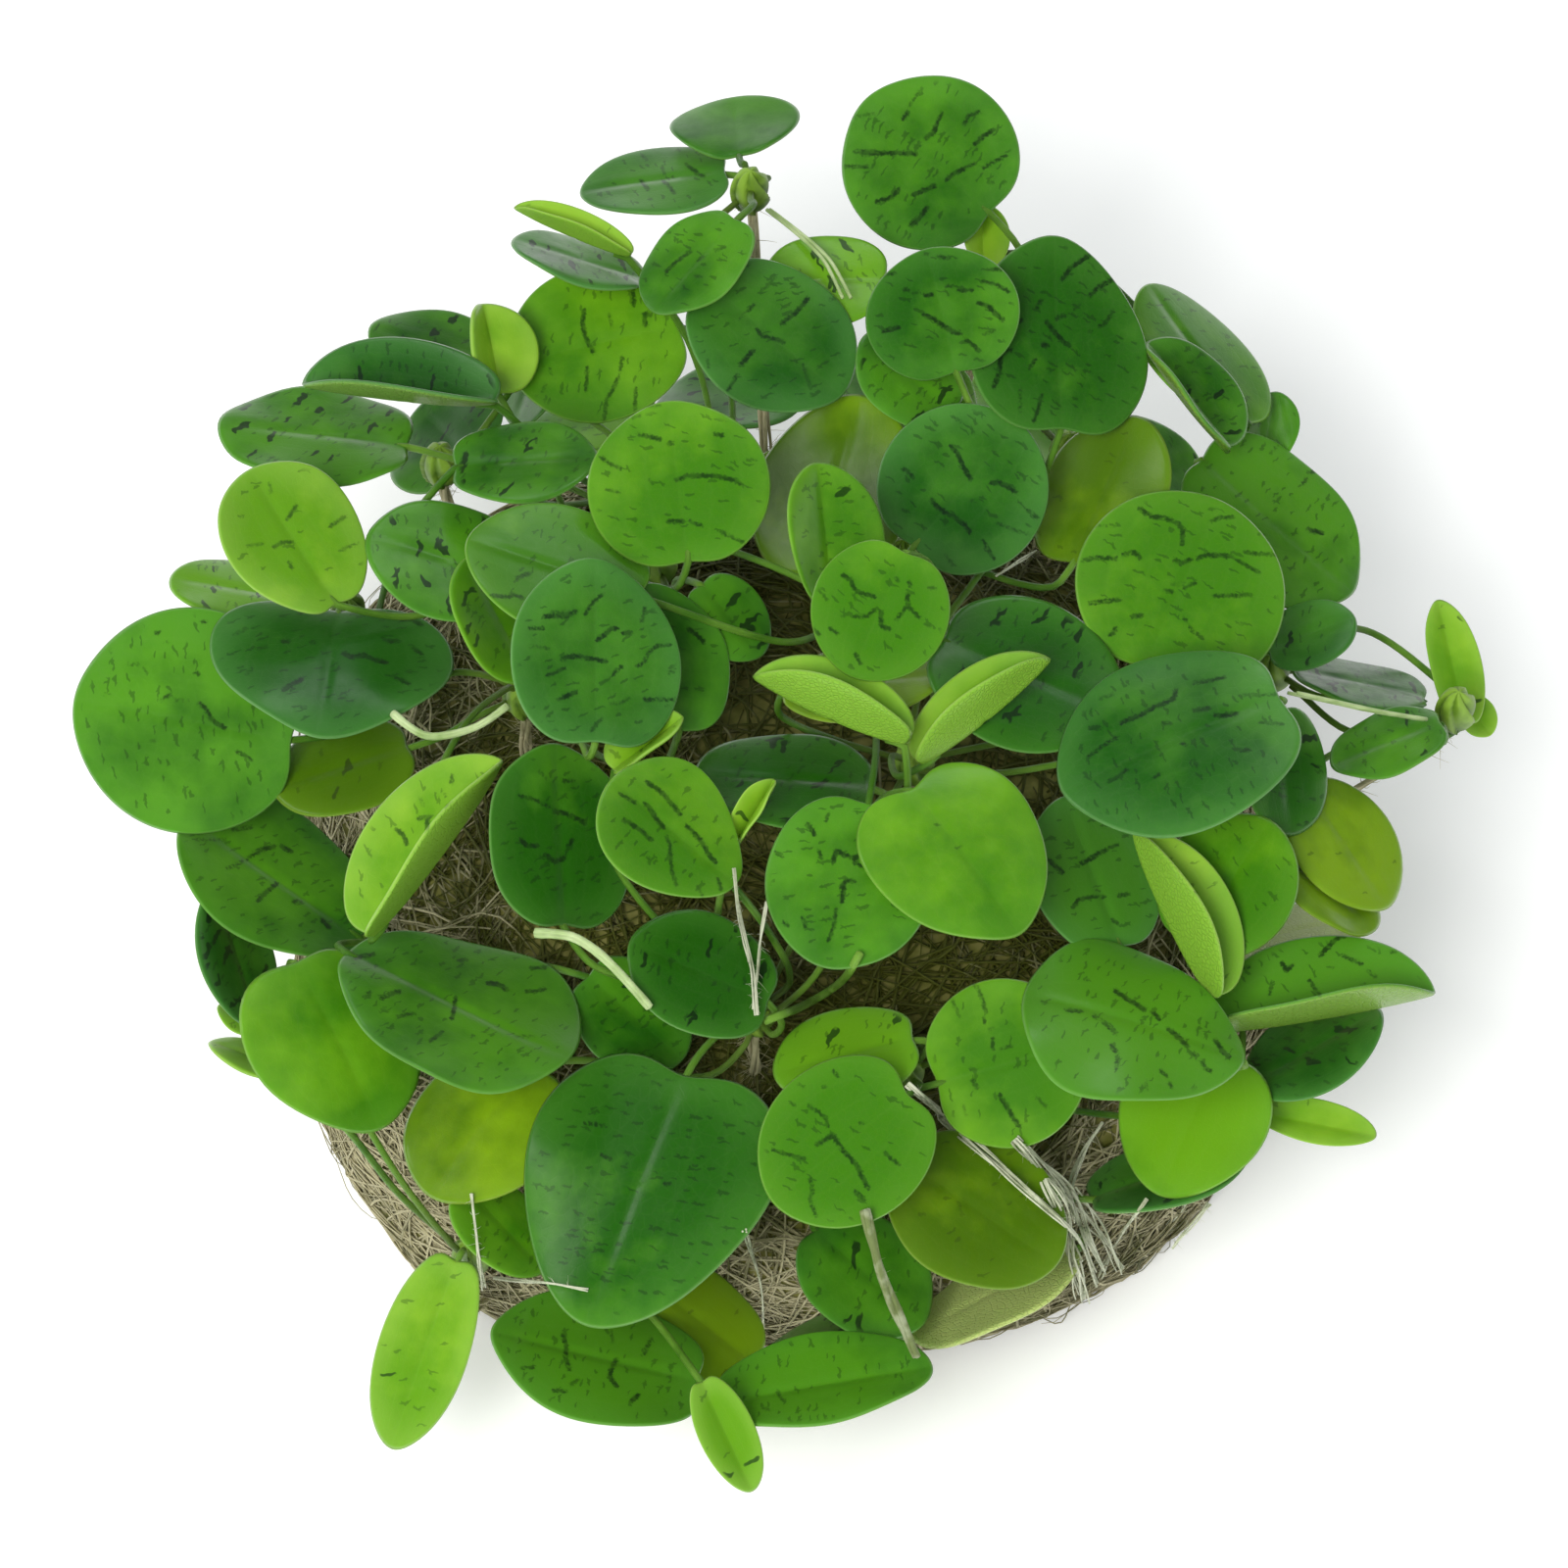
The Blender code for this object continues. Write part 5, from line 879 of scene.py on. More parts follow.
    "faint_front": {
        "faint": [(97.8, 122.7, 98.2, 124.0), (93.8, 123.9, 94.4, 123.9)],
    },
    "plain_heart": {
        "faint": [(97.6, 86.5, 98.0, 86.4), (95.5, 84.2, 95.9, 84.1)],
    },
}
scatter = {"mature": 0.3, "blue": 0.3, "bright": 0.15, "young": 0.08, "olive": 0.03}
specks = {"mature": 0.34, "blue": 0.34, "bright": 0.3, "young": 0.12, "olive": 0.06}  # share of small marks
bare = {"pale_upright", "lower_left", "yellow_left", "yellow_front", "olive_back", "fold_left", "fold_right",
        "back_flat", "plain_heart"}


# How light a leaf is, -1 to 1, and how much lighter it gets toward the right and toward the top. The tone is
# partly the leaf's own green and partly painted shade and painted light, and the change toward the right and
# the top is painted light across the blade
tonesAndPaintedLight = {
    "back_round": (0.1, -0.1, 0.3), "blue_middle": (-0.3, 0.1, 0.3), "bright_left": (-0.1, 0.2, 0.3),
    "centre_round": (-0.4, 0.1, 0.3), "round_dark": (-0.1, 0.2, 0.4), "round_right": (-0.7, -0.1, 0.0),
    "glossy_right": (-0.3, 0.3, 0.1), "blue_left": (-0.1, -0.3, 0.1), "widest_left": (0.3, -0.2, 0.1),
    "wide_left": (-1.1, -0.3, 0.3), "plain_heart": (0.0, 0.1, 0.5), "forked_middle": (0.3, -0.2, 0.3),
    "largest": (-0.6, -0.1, -0.4), "front_left": (0.3, 0.3, 0.0), "front_right": (1.1, -0.2, 0.3),
    "round_front": (-1.2, -0.4, 0.1), "lower_left": (-0.1, -0.5, 0.2), "yellow_left": (0.2, 0.4, -0.3),
    "young_left": (-0.5, -0.2, -0.2), "olive_back": (-0.5, 0.4, 0.5), "broad_left": (0.0, -0.4, -0.2),
    "dark_front": (-0.9, 0.2, 0.9), "streaked_tongue": (-0.3, 0.1, 0.3), "bright_front": (-0.2, -0.4, -0.1),
    "yellow_front": (0.7, -0.2, 0.3), "white_edged": (1.2, 0.1, -0.3), "faint_front": (-0.8, -0.3, 0.3),
    "bottom_left": (1.8, 0.0, 0.2), "lying_front": (0.6, -0.2, -0.3), "hanging_left": (-0.7, 0.1, 0.3),
    "large_back": (-0.8, 0.1, -0.2), "streaked_back": (-0.4, 0.3, 0.3), "large_right": (0.5, -0.2, 0.3),
    "right_tilted": (-0.5, 0.3, 0.2), "sheen_right": (1.8, 0.1, -0.2), "bright_right": (-0.7, 0.2, 0.3),
    "left_oval": (0.5, 0.1, -0.1), "curled_left": (-0.9, -0.2, 0.2), "back_flat": (-0.3, 0.1, 0.5),
    "back_sheen": (0.5, 0.1, -0.3), "dark_left": (0.25, -0.2, 0.3), "streaked_under": (-0.95, -0.3, 0.3),
    "dark_middle": (-1.3, -0.2, 0.3), "small_forked": (-0.7, -0.1, 0.4), "far_right_young": (-0.2, 0.2, 0.3),
    "olive_corner": (0.5, 0.4, -0.2), "hanging_small": (-1.9, 0.2, -0.3), "bottom_olive": (1.5, 0.3, 0.3),
    "clear_old": (0.6, -0.5, 0.2), "shaded_left": (-1.3, -0.4, 0.2), "olive_right": (-0.6, -0.5, -0.3),
    "bright_behind": (1.5, 0.0, 0.2), "deep_round": (-1.0, 0.0, 0.3), "dark_gap": (-1.8, 0.0, 0.3),
    "fold_left": (-0.5, 0.2, 0.2), "fold_right": (-0.4, -0.1, -0.3), "spotted_fold": (-0.3, 0.2, 0.3),
    "bright_fold": (-0.2, -0.2, 0.2), "right_shade": (-0.4, 0.0, 0.3), "pale_far_left": (0.9, 0.2, 0.2),
    "bright_scrap": (1.0, 0.0, 0.0), "lit_back": (0.6, 0.0, 0.0),
}
turnedOver = {"clear_old", "pale_crescent"}  # those seen from their paler underside


def dashField(leaf, points):
    # how far each point lies outside the nearest dash, as seen, and how strong that dash is
    seen = toSheet(points)
    outside, ink = np.full(len(points), blades["clear"]), np.zeros(len(points))
    for grade, lines in dashes.get(leaf.name, {}).items():
        girth, strength = dashGrades[grade]
        for line in lines:
            knots = np.array(line).reshape(-1, 2)
            for start, end in zip(knots, knots[1:]):
                span = end - start
                share = np.clip((seen - start) @ span / (span @ span), 0, 1)
                away = np.linalg.norm(seen - start - share[:, None] * span, axis=1) - girth
                closer = away < outside
                outside = np.where(closer, away, outside)
                ink = np.where(closer, strength, ink)
    return outside, ink


def addBlade(shape, leaf):
    chance = random.Random(leaf.name + "form")
    drawn = leaf.name in dashes
    master = masters[drawn]
    reach, turn, level = master["reach"], master["turn"], master["level"]
    along, across = outline(turn, reach, leaf)
    waves = chance.choice(blades["waves"])
    wave = blades["wave"] * leaf.width * np.sin(waves * turn + chance.uniform(0, 6)) * reach ** 3
    offMidrib = across * leaf.width / blades["grooveHalf"]
    groove = -blades["groove"] * np.exp(-(offMidrib ** 2)) * (1 - reach ** 4)
    thickness = min(1.0, leaf.width / blades["thinUnder"]) * blades["thickness"]
    raised = level * thickness / 2 + wave + groove
    points = leaf.place(along, across, raised, crease=blades["crease"])
    outside, ink = dashField(leaf, points)

    # the map of the scattered dashes lies across the blade, moved and turned a little on each leaf
    swing, far = blades["dashSwing"], blades["patternShift"]
    heading = 0.5 * math.pi + chance.uniform(-swing, swing)
    flat = np.stack((along * leaf.length, across * leaf.width), axis=1)
    turned = np.stack((flat[:, 0] * math.cos(heading) + flat[:, 1] * math.sin(heading),
                       flat[:, 1] * math.cos(heading) - flat[:, 0] * math.sin(heading)), axis=1)
    offset = np.array((chance.uniform(-far, far), chance.uniform(-far, far)))
    plain = leaf.name in bare
    # The tone below carries painted shade and painted light as well as the leaf's own green, and the change
    # across the blade is painted light
    ownTone = [chance.uniform(-blades["tones"], blades["tones"]) for _ in range(3)]
    tone, toRight, toTop = tonesAndPaintedLight.get(leaf.name, ownTone)
    offMiddle = (points - points.mean(axis=0)) / (0.5 * leaf.length)
    tone = tone + toRight * (offMiddle @ sideways) + toTop * (offMiddle @ upward)
    shape.add(points, master["faces"], leaf.kind + "Leaf",
              blade=np.stack((along, across + 0.5), axis=1), streaks=(turned + offset) / mapUnit, rim=reach,
              under=1.0 if leaf.name in turnedOver else (level < 0).astype(float),
              tone=np.clip(tone, -blades["toneLimit"], blades["toneLimit"]),
              streaking=0.0 if drawn or plain else scatter[leaf.kind],
              specks=0.0 if plain else specks[leaf.kind], outside=outside, ink=ink)


# The stalks: from inside the base of the blade, along the solid's rings, into the crown
stalks = {
    "half": 0.38,
    "taper": 0.9,
    "tip": 0.55,         # of that half, inside the blade
    "sides": 10,
    "spacing": 1.1,
    "inside": 2.0,       # mm that it reaches under the blade, at most
    "insideShare": 0.12,
    "under": 0.5,        # mm under the blade's middle
    "leaving": 0.25,
    "short": 0.25,       # of the last stretch, where it ends before the crown's middle
    "tones": 0.4,
}


def addStalk(shape, leaf):
    inside = min(stalks["inside"], stalks["insideShare"] * leaf.length)
    knots = [leaf.root + leaf.axis * inside - leaf.face * stalks["under"],
             leaf.root - leaf.face * stalks["leaving"]] + leaf.stalk
    knots.append(leaf.crown.middle + (knots[-1] - leaf.crown.middle) * stalks["short"])
    path = smoothPath(knots, stalks["spacing"])
    share = np.linspace(0, 1, len(path))
    radii = stalks["half"] * (1 - (1 - stalks["taper"]) * share)
    radii[0] *= stalks["tip"]
    tone = random.Random(leaf.name + "stalk").uniform(-stalks["tones"], stalks["tones"])
    shape.addTube(path, radii, stalks["sides"], "stalkSkin", tone=tone,
                  under=np.append(np.repeat(share, stalks["sides"]), (0, 1)))


# The crowns: a slim bud of sheaths that lap over each other and end in points
# lapShade is painted shade where each sheath tucks under the one lapping over it
crownForm = {"fineness": (60, 30), "sheaths": 5, "slim": 0.74, "lap": 0.30, "winding": 0.45, "points": 0.6,
             "lapShade": 0.9, "topTone": 0.5}


def modelCrown():
    openSphere(*crownForm["fineness"], crownSolid["radius"])
    slim = crownForm["slim"]
    bpy.ops.transform.resize(value=(slim, slim, crownSolid["tall"]), center_override=(0, 0, 0))
    return closeShape()


def addCrown(shape, crown):
    chance = random.Random(crown.name)
    points, faces = crownMaster
    high = points[:, 2] / (crownSolid["radius"] * crownSolid["tall"])  # -1 below, 1 on top
    turn = np.arctan2(points[:, 1], points[:, 0]) / (2 * np.pi)
    lap = (crownForm["sheaths"] * turn + crownForm["winding"] * high + chance.uniform(0, 1)) % 1.0
    teeth = np.clip(high, 0, 1) ** 2 * np.abs(2 * lap - 1)
    girth = 1 + crownForm["lap"] * (lap - 0.5) - crownForm["points"] * teeth
    formed = points * np.stack((girth, girth, np.ones_like(girth)), axis=1)
    # painted shade where each sheath tucks under the next, and lighter toward the top
    tone = (lap - 0.5) * crownForm["lapShade"] + high * crownForm["topTone"]
    shape.add(crown.middle + formed, faces, "crownSkin", tone=tone, under=np.clip(-high, 0, 1))


# The root strands: a few threads wound loosely together, with hairs standing off them
strandForm = {
    "threads": 5,
    "thread": 0.34,
    "wind": 0.55,          # mm that they wind out from the middle
    "turns": (2, 5),       # radians along the strand
    "pulse": (3, 7),
    "uneven": (0.75, 1.15),
    "toneRange": 0.25,
    "spacing": 1.0,
    "deeper": 2.0,         # mm that it runs on into the root mass
}
hairForm = {
    "count": 90,
    "length": 1.9,
    "radius": 0.05,
    "slant": 0.8,          # 1 stands square off the strand
    "bend": 0.35,
    "lengths": (0.45, 1.1),
    "along": (0, 0.33, 0.66, 1.0),
    "thinning": (1, 0.85, 0.6, 0.3),
}


def addThreads(shape, path, threads, radius, wind, chance, tone, taper=0.5, finish="rootThread"):
    along = headings(path)
    sides = sideVectors(along, (0.2, 0.9, 0.3))
    others = np.cross(along, sides)
    share = np.linspace(0, 1, len(path))
    spread = strandForm["toneRange"]
    for number in range(threads):
        turn = (2 * math.pi * number / threads + share * chance.uniform(*strandForm["turns"])
                + chance.uniform(0, 1))
        pulse = np.sin(share * chance.uniform(*strandForm["pulse"]) + chance.uniform(0, 6))
        out = wind * (0.5 + 0.5 * pulse)
        line = path + sides * (out * np.cos(turn))[:, None] + others * (out * np.sin(turn))[:, None]
        radii = radius * (1 - taper * share) * chance.uniform(*strandForm["uneven"])
        shape.addTube(line, radii, 6, finish, tone=tone + chance.uniform(-spread, spread))


def addHairs(shape, path, count, length, radius, chance, tone, finish="rootThread"):
    along = headings(path)
    thinning = np.array(hairForm["thinning"])
    for _ in range(count):
        i = chance.randrange(1, len(path) - 1)
        out = np.array([chance.gauss(0, 1) for _ in range(3)])
        out = unit(out - along[i] * out.dot(along[i]) * hairForm["slant"])
        bend = np.array([chance.gauss(0, hairForm["bend"]) for _ in range(3)])
        reach = length * chance.uniform(*hairForm["lengths"])
        line = np.array([path[i] + (out + bend * t) * reach * t for t in hairForm["along"]])
        shape.addTube(line, radius * thinning, 3, finish, tone=tone)


# Shader helpers
def paint(red, green, blue):  # a colour as a screen shows it, 0 to 255
    linear = [((c / 255 + 0.055) / 1.055) ** 2.4 if c > 10 else c / 255 / 12.92 for c in (red, green, blue)]
    return (*linear, 1.0)


def feed(tree, socket, value):  # a link or a fixed value
    if isinstance(value, bpy.types.NodeSocket):
        tree.links.new(value, socket)
    else:
        socket.default_value = value


def put(tree, kind, inputs=None, **settings):
    made = tree.nodes.new("ShaderNode" + kind)
    for name, value in settings.items():
        setattr(made, name, value)
    for name, value in (inputs or {}).items():
        feed(tree, made.inputs[name], value)
    return made


def calc(tree, operation, *values):
    return put(tree, "Math", dict(enumerate(values)), operation=operation).outputs[0]


def plus(tree, first, second):
    return calc(tree, "ADD", first, second)


def minus(tree, first, second):
    return calc(tree, "SUBTRACT", first, second)


def times(tree, first, second):
    return calc(tree, "MULTIPLY", first, second)


def lobe(tree, first, size, power):  # 0 at its middle and 1 where the first comes to the size
    return calc(tree, "POWER", calc(tree, "DIVIDE", calc(tree, "ABSOLUTE", first), size), power)


def combine(tree, operation, first, second):  # of places
    return put(tree, "VectorMath", {0: first, 1: second}, operation=operation).outputs[0]


def band(tree, value, low, high, start=0.0, end=1.0):  # smooth step from low to high
    limits = {"Value": value, "From Min": low, "From Max": high, "To Min": start, "To Max": end}
    return put(tree, "MapRange", limits, interpolation_type="SMOOTHSTEP").outputs["Result"]


def blend(tree, factor, first, second):
    made = put(tree, "Mix", {"Factor": factor}, data_type="RGBA")
    feed(tree, made.inputs[6], first)
    feed(tree, made.inputs[7], second)
    return made.outputs[2]


def trait(tree, name):
    return put(tree, "Attribute", attribute_name=name).outputs["Fac"]


def ownPlace(tree, uvMap=None):  # in the piece, or on one of its maps
    return put(tree, "UVMap", uv_map=uvMap).outputs[0] if uvMap else put(tree, "TexCoord").outputs["Object"]


def mapped(tree, place, scale, shift=(0, 0, 0)):
    return put(tree, "Mapping", {"Vector": place, "Scale": scale, "Location": shift}).outputs[0]


def grain(tree, place, scale, detail=2.0):
    return put(tree, "TexNoise", {"Vector": place, "Scale": scale, "Detail": detail}).outputs["Fac"]


def net(tree, place, scale):  # how far from the walls of a net of cells
    return put(tree, "TexVoronoi", {"Vector": place, "Scale": scale}, feature="DISTANCE_TO_EDGE",
               voronoi_dimensions="2D").outputs["Distance"]


def newGroup(name, inputs, outputs):
    group = bpy.data.node_groups.new(name, "ShaderNodeTree")
    for socket, kind, value in inputs:
        made = group.interface.new_socket(socket, in_out="INPUT", socket_type="NodeSocket" + kind)
        if value is not None:
            made.default_value = value
    for socket, kind in outputs:
        group.interface.new_socket(socket, in_out="OUTPUT", socket_type="NodeSocket" + kind)
    return group, group.nodes.new("NodeGroupInput").outputs, group.nodes.new("NodeGroupOutput").inputs


def useGroup(tree, group, inputs):
    made = tree.nodes.new("ShaderNodeGroup")
    made.node_tree = group
    for name, value in inputs.items():
        feed(tree, made.inputs[name], value)
    return made.outputs


def newMaterial(name):
    material = bpy.data.materials.new(name)
    material.use_nodes = True
    tree = material.node_tree
    return material, tree, tree.nodes["Principled BSDF"]


# Broken dashes scattered over a blade, some of them forked. Lengths are shares of a cell
dashForm = {
    "cells": (2.6, 5.4, 1),     # to a unit of the map
    "wobble": 7.0,
    "wobbleBy": (0.35, 0.85, 0),
    "spread": 0.85,             # 1 puts each dash anywhere in its cell
    "half": (0.20, 0.46),
    "girth": (0.11, 0.19),
    "edge": (1.25, 0.65),
    "forkedOver": 0.72,
    "forkPlace": 0.45,          # of the half length
    "forkSlope": 1.7,
    "forkSize": 0.2,
    "forkEdge": (1.2, 0.6),
}


def makeStreakGroup():
    form = dashForm
    group, given, out = newGroup("streakMarks", [("Place", "Vector", None), ("Amount", "Float", 0.5)],
                                 [("Marks", "Float")])
    place = mapped(group, given["Place"], form["cells"])
    wobble = put(group, "TexNoise", {"Vector": given["Place"], "Scale": form["wobble"], "Detail": 1.0})
    shift = combine(group, "SUBTRACT", wobble.outputs["Color"], (0.5, 0.5, 0.5))
    place = combine(group, "ADD", place, combine(group, "MULTIPLY", shift, form["wobbleBy"]))
    cells = put(group, "TexVoronoi", {"Vector": place, "Scale": 1.0, "Randomness": form["spread"]},
                voronoi_dimensions="2D")
    away = combine(group, "SUBTRACT", place, cells.outputs["Position"])
    split = put(group, "SeparateXYZ", {0: away}).outputs
    luck = put(group, "SeparateColor", {0: cells.outputs["Color"]}).outputs
    length = band(group, luck["Green"], 0.0, 1.0, *form["half"])
    thick = band(group, luck["Blue"], 0.0, 1.0, *form["girth"])
    slope = minus(group, luck["Blue"], 0.5)
    acrossBy = plus(group, split["Y"], times(group, split["X"], slope))
    far = plus(group, lobe(group, split["X"], length, 2.6), lobe(group, acrossBy, thick, 2.0))
    dash = band(group, far, *form["edge"])
    # a branch that leaves the dash at its end
    branchX = minus(group, split["X"], times(group, length, form["forkPlace"]))
    branchY = minus(group, split["Y"], times(group, branchX, form["forkSlope"]))
    branch = plus(group, lobe(group, branchX, form["forkSize"], 2.0),
                  lobe(group, branchY, form["forkSize"], 2.0))
    forked = times(group, band(group, branch, *form["forkEdge"]),
                   calc(group, "GREATER_THAN", luck["Green"], form["forkedOver"]))
    there = calc(group, "LESS_THAN", luck["Red"], given["Amount"])
    group.links.new(times(group, calc(group, "MAXIMUM", dash, forked), there), out["Marks"])
    return group


# Veins that arch from the base of a blade to its tip, and the fine net between them
veinForm = {"apart": 0.085, "edge": (0.016, 0.002), "net": 22.0, "netEdge": (0.12, 0.0)}


def makeVeinGroup():
    group, given, out = newGroup("leafVeins", [("Place", "Vector", None)],
                                 [("Arches", "Float"), ("Net", "Float")])
    split = put(group, "SeparateXYZ", {0: given["Place"]}).outputs
    along = minus(group, times(group, split["X"], 2.0), 1.0)
    room = calc(group, "MAXIMUM", minus(group, 1.04, times(group, along, along)), 0.02)
    half = calc(group, "SQRT", room)  # the blade's own half width there
    arch = calc(group, "DIVIDE", minus(group, split["Y"], 0.5), half)
    toArch = times(group, calc(group, "PINGPONG", arch, veinForm["apart"]), half)
    group.links.new(band(group, toArch, *veinForm["edge"]), out["Arches"])
    walls = net(group, given["Place"], veinForm["net"])
    group.links.new(band(group, walls, *veinForm["netEdge"]), out["Net"])
    return group


# The skin of a blade: what each kind sets as its own colours gives the colour, roughness and relief.
# Grains are in cells to a metre, and the rim counts from 0 at the middle to 1
leafSkin = {
    "patches": 90.0,
    "patchLight": (0.1, 0.9),
    "mottle": 420.0,
    "mottleBy": 0.9,
    "toneBy": 0.9,
    # where the painted sheen of the Margin colour comes in toward the rim
    "margin": (0.75, 1.35),
    "wander": 1.1,           # cells to a unit of the map
    "wanderBy": 0.5,
    "arches": 0.012,         # how much the veins show in the colour
    "net": 0.015,
    "smallScale": (2.2, 2.2, 1),
    "smallShift": (31, 17, 0),
    "smallStrength": 0.5,
    "clearRim": (0.97, 0.86),  # where dashes end before the rim
    "ragged": 3600.0,
    "raggedBy": 0.5,
    "drawnEdge": (0.13, -0.12),  # mm
    "worn": 1500.0,
    "wornTo": 0.65,
    "ink": 0.85,
    "paleRim": (0.97, 0.995, 0.0, 0.24),
    "sponge": 30.0,          # cells along the underside
    "spongeWalls": (0.02, 0.12, 0.1, 0.0),
    "polish": 900.0,
    "rough": (0.30, 0.40),
    "dashRough": 0.05,
    "underRough": 0.12,
    "archRelief": -0.04,
    "netRelief": -0.05,
    "patchRelief": 0.8,
}


def makeLeafGroup(streakGroup, veinGroup):
    form = leafSkin
    colours = ("Deep", "Lit", "Margin", "Rim", "Streak", "Beneath")
    group, given, out = newGroup("leafSkin", [(name, "Color", None) for name in colours]
                                 + [("Margin Share", "Float", 0.5)],
                                 [("Color", "Color"), ("Roughness", "Float"), ("Relief", "Float")])
    place, blade, streaks = ownPlace(group), ownPlace(group, "blade"), ownPlace(group, "streaks")
    rim, under = trait(group, "rim"), trait(group, "under")

    patches = grain(group, place, form["patches"])
    mottle = times(group, minus(group, grain(group, place, form["mottle"], 3.0), 0.5), form["mottleBy"])
    # the tone trait, painted shade and painted light with the leaf's own green, moves the blade between its
    # Deep and Lit greens
    light = plus(group, times(group, trait(group, "tone"), form["toneBy"]),
                 band(group, patches, 0.3, 0.7, *form["patchLight"]))
    colour = blend(group, plus(group, light, mottle), given["Deep"], given["Lit"])
    # a painted bluish sheen, the Margin colour, toward the rim
    wander = times(group, grain(group, streaks, form["wander"], 1.0), form["wanderBy"])
    margin = times(group, band(group, plus(group, rim, wander), *form["margin"]), given["Margin Share"])
    colour = blend(group, margin, colour, given["Margin"])
    veins = useGroup(group, veinGroup, {"Place": blade})
    colour = blend(group, times(group, veins["Arches"], form["arches"]), colour, given["Rim"])
    colour = blend(group, times(group, veins["Net"], form["net"]), colour, given["Rim"])

    # scattered dashes and small marks, then the drawn dashes
    marks = useGroup(group, streakGroup, {"Place": streaks, "Amount": trait(group, "streaking")})["Marks"]
    smaller = mapped(group, streaks, form["smallScale"], form["smallShift"])
    small = useGroup(group, streakGroup, {"Place": smaller, "Amount": trait(group, "specks")})["Marks"]
    marks = calc(group, "MAXIMUM", marks, times(group, small, form["smallStrength"]))
    marks = times(group, marks, band(group, rim, *form["clearRim"]))
    ragged = times(group, minus(group, grain(group, place, form["ragged"]), 0.5), form["raggedBy"])
    drawn = band(group, plus(group, trait(group, "outside"), ragged), *form["drawnEdge"])
    worn = band(group, grain(group, place, form["worn"], 1.0), 0.35, 0.6, form["wornTo"], 1.0)
    drawn = times(group, drawn, times(group, trait(group, "ink"), worn))
    marks = calc(group, "MAXIMUM", marks, drawn)
    colour = blend(group, times(group, marks, form["ink"]), colour, given["Streak"])
    colour = blend(group, band(group, rim, *form["paleRim"]), colour, given["Rim"])

    spongy = net(group, blade, form["sponge"])
    beneath = blend(group, band(group, spongy, *form["spongeWalls"]), given["Beneath"], given["Deep"])
    group.links.new(blend(group, under, colour, beneath), out["Color"])
    polish = band(group, grain(group, place, form["polish"]), 0.3, 0.7, *form["rough"])
    rough = plus(group, polish, times(group, marks, form["dashRough"]))
    group.links.new(plus(group, rough, times(group, under, form["underRough"])), out["Roughness"])
    relief = plus(group, times(group, veins["Arches"], form["archRelief"]),
                  times(group, veins["Net"], form["netRelief"]))
    relief = plus(group, relief, times(group, patches, form["patchRelief"]))
    relief = plus(group, relief, times(group, under, band(group, spongy, 0.0, 0.2)))
    group.links.new(relief, out["Relief"])
    return group


# Thin stems and threads: a drift of two colours along and over them
stemSkin = {"toneBy": 0.8, "driftLight": (0.1, 0.9), "base": (0.55, 1.0), "baseBy": 0.7,
            "lines": (9.0, 1.0, 1.0), "lineScale": 6.0, "driftRelief": 0.6}


def makeStemGroup():
    form = stemSkin
    colours = [(name, "Color", None) for name in ("Dark", "Light", "Base")]
    group, given, out = newGroup("stemSkin", colours + [("Scale", "Float", 300.0)],
                                 [("Color", "Color"), ("Relief", "Float")])
    drift = grain(group, ownPlace(group), given["Scale"], 3.0)
    light = plus(group, times(group, trait(group, "tone"), form["toneBy"]),
                 band(group, drift, 0.3, 0.7, *form["driftLight"]))
    colour = blend(group, light, given["Dark"], given["Light"])
    base = times(group, band(group, trait(group, "under"), *form["base"]), form["baseBy"])
    group.links.new(blend(group, base, colour, given["Base"]), out["Color"])
    lines = grain(group, mapped(group, ownPlace(group, "blade"), form["lines"]), form["lineScale"])
    group.links.new(plus(group, lines, times(group, drift, form["driftRelief"])), out["Relief"])
    return group


def makeSkin(name, group, values, relief):  # relief is its depth in metres and its strength
    material, tree, skin = newMaterial(name)
    values = {key: paint(*value) if isinstance(value, tuple) else value for key, value in values.items()}
    made = useGroup(tree, group, values)
    tree.links.new(made["Color"], skin.inputs["Base Color"])
    bump = put(tree, "Bump", {"Height": made["Relief"], "Distance": relief[0], "Strength": relief[1]})
    tree.links.new(bump.outputs[0], skin.inputs["Normal"])
    materials[name] = material
    return tree, skin, made


# Each kind of leaf, in the colours that a screen shows. Deep and Lit are its green in painted shade and in
# painted light, between which random patches also move it, and Margin is a painted bluish sheen toward the
# rim, which the blue kind shows most
leafColours = {
    "matureLeaf": {"Deep": (30, 86, 8), "Lit": (74, 134, 20), "Margin": (72, 130, 40), "Rim": (130, 170, 96),
                   "Streak": (14, 34, 14), "Beneath": (112, 150, 50), "Margin Share": 0.4},
    "blueLeaf": {"Deep": (28, 84, 14), "Lit": (64, 122, 28), "Margin": (70, 126, 54), "Rim": (130, 170, 110),
                 "Streak": (16, 36, 20), "Beneath": (112, 150, 60), "Margin Share": 0.6},
    "brightLeaf": {"Deep": (58, 116, 8), "Lit": (98, 152, 20), "Margin": (94, 148, 36), "Rim": (150, 186, 90),
                   "Streak": (20, 50, 12), "Beneath": (112, 158, 44), "Margin Share": 0.35},
    "youngLeaf": {"Deep": (92, 146, 16), "Lit": (134, 176, 40), "Margin": (140, 180, 70),
                  "Rim": (176, 200, 120), "Streak": (34, 66, 20), "Beneath": (124, 170, 50),
                  "Margin Share": 0.4},
    "oliveLeaf": {"Deep": (70, 106, 4), "Lit": (114, 150, 14), "Margin": (104, 142, 30),
                  "Rim": (146, 168, 76), "Streak": (46, 64, 16), "Beneath": (176, 192, 112),
                  "Margin Share": 0.35},
}
leafGloss = {
    "Specular IOR Level": 0.4,
    "Coat Weight": 0.25,
    "Coat Roughness": 0.2,
    "Subsurface Weight": 0.08,
    "Subsurface Radius": (0.25, 0.9, 0.12),
    "Subsurface Scale": 0.0015,
}
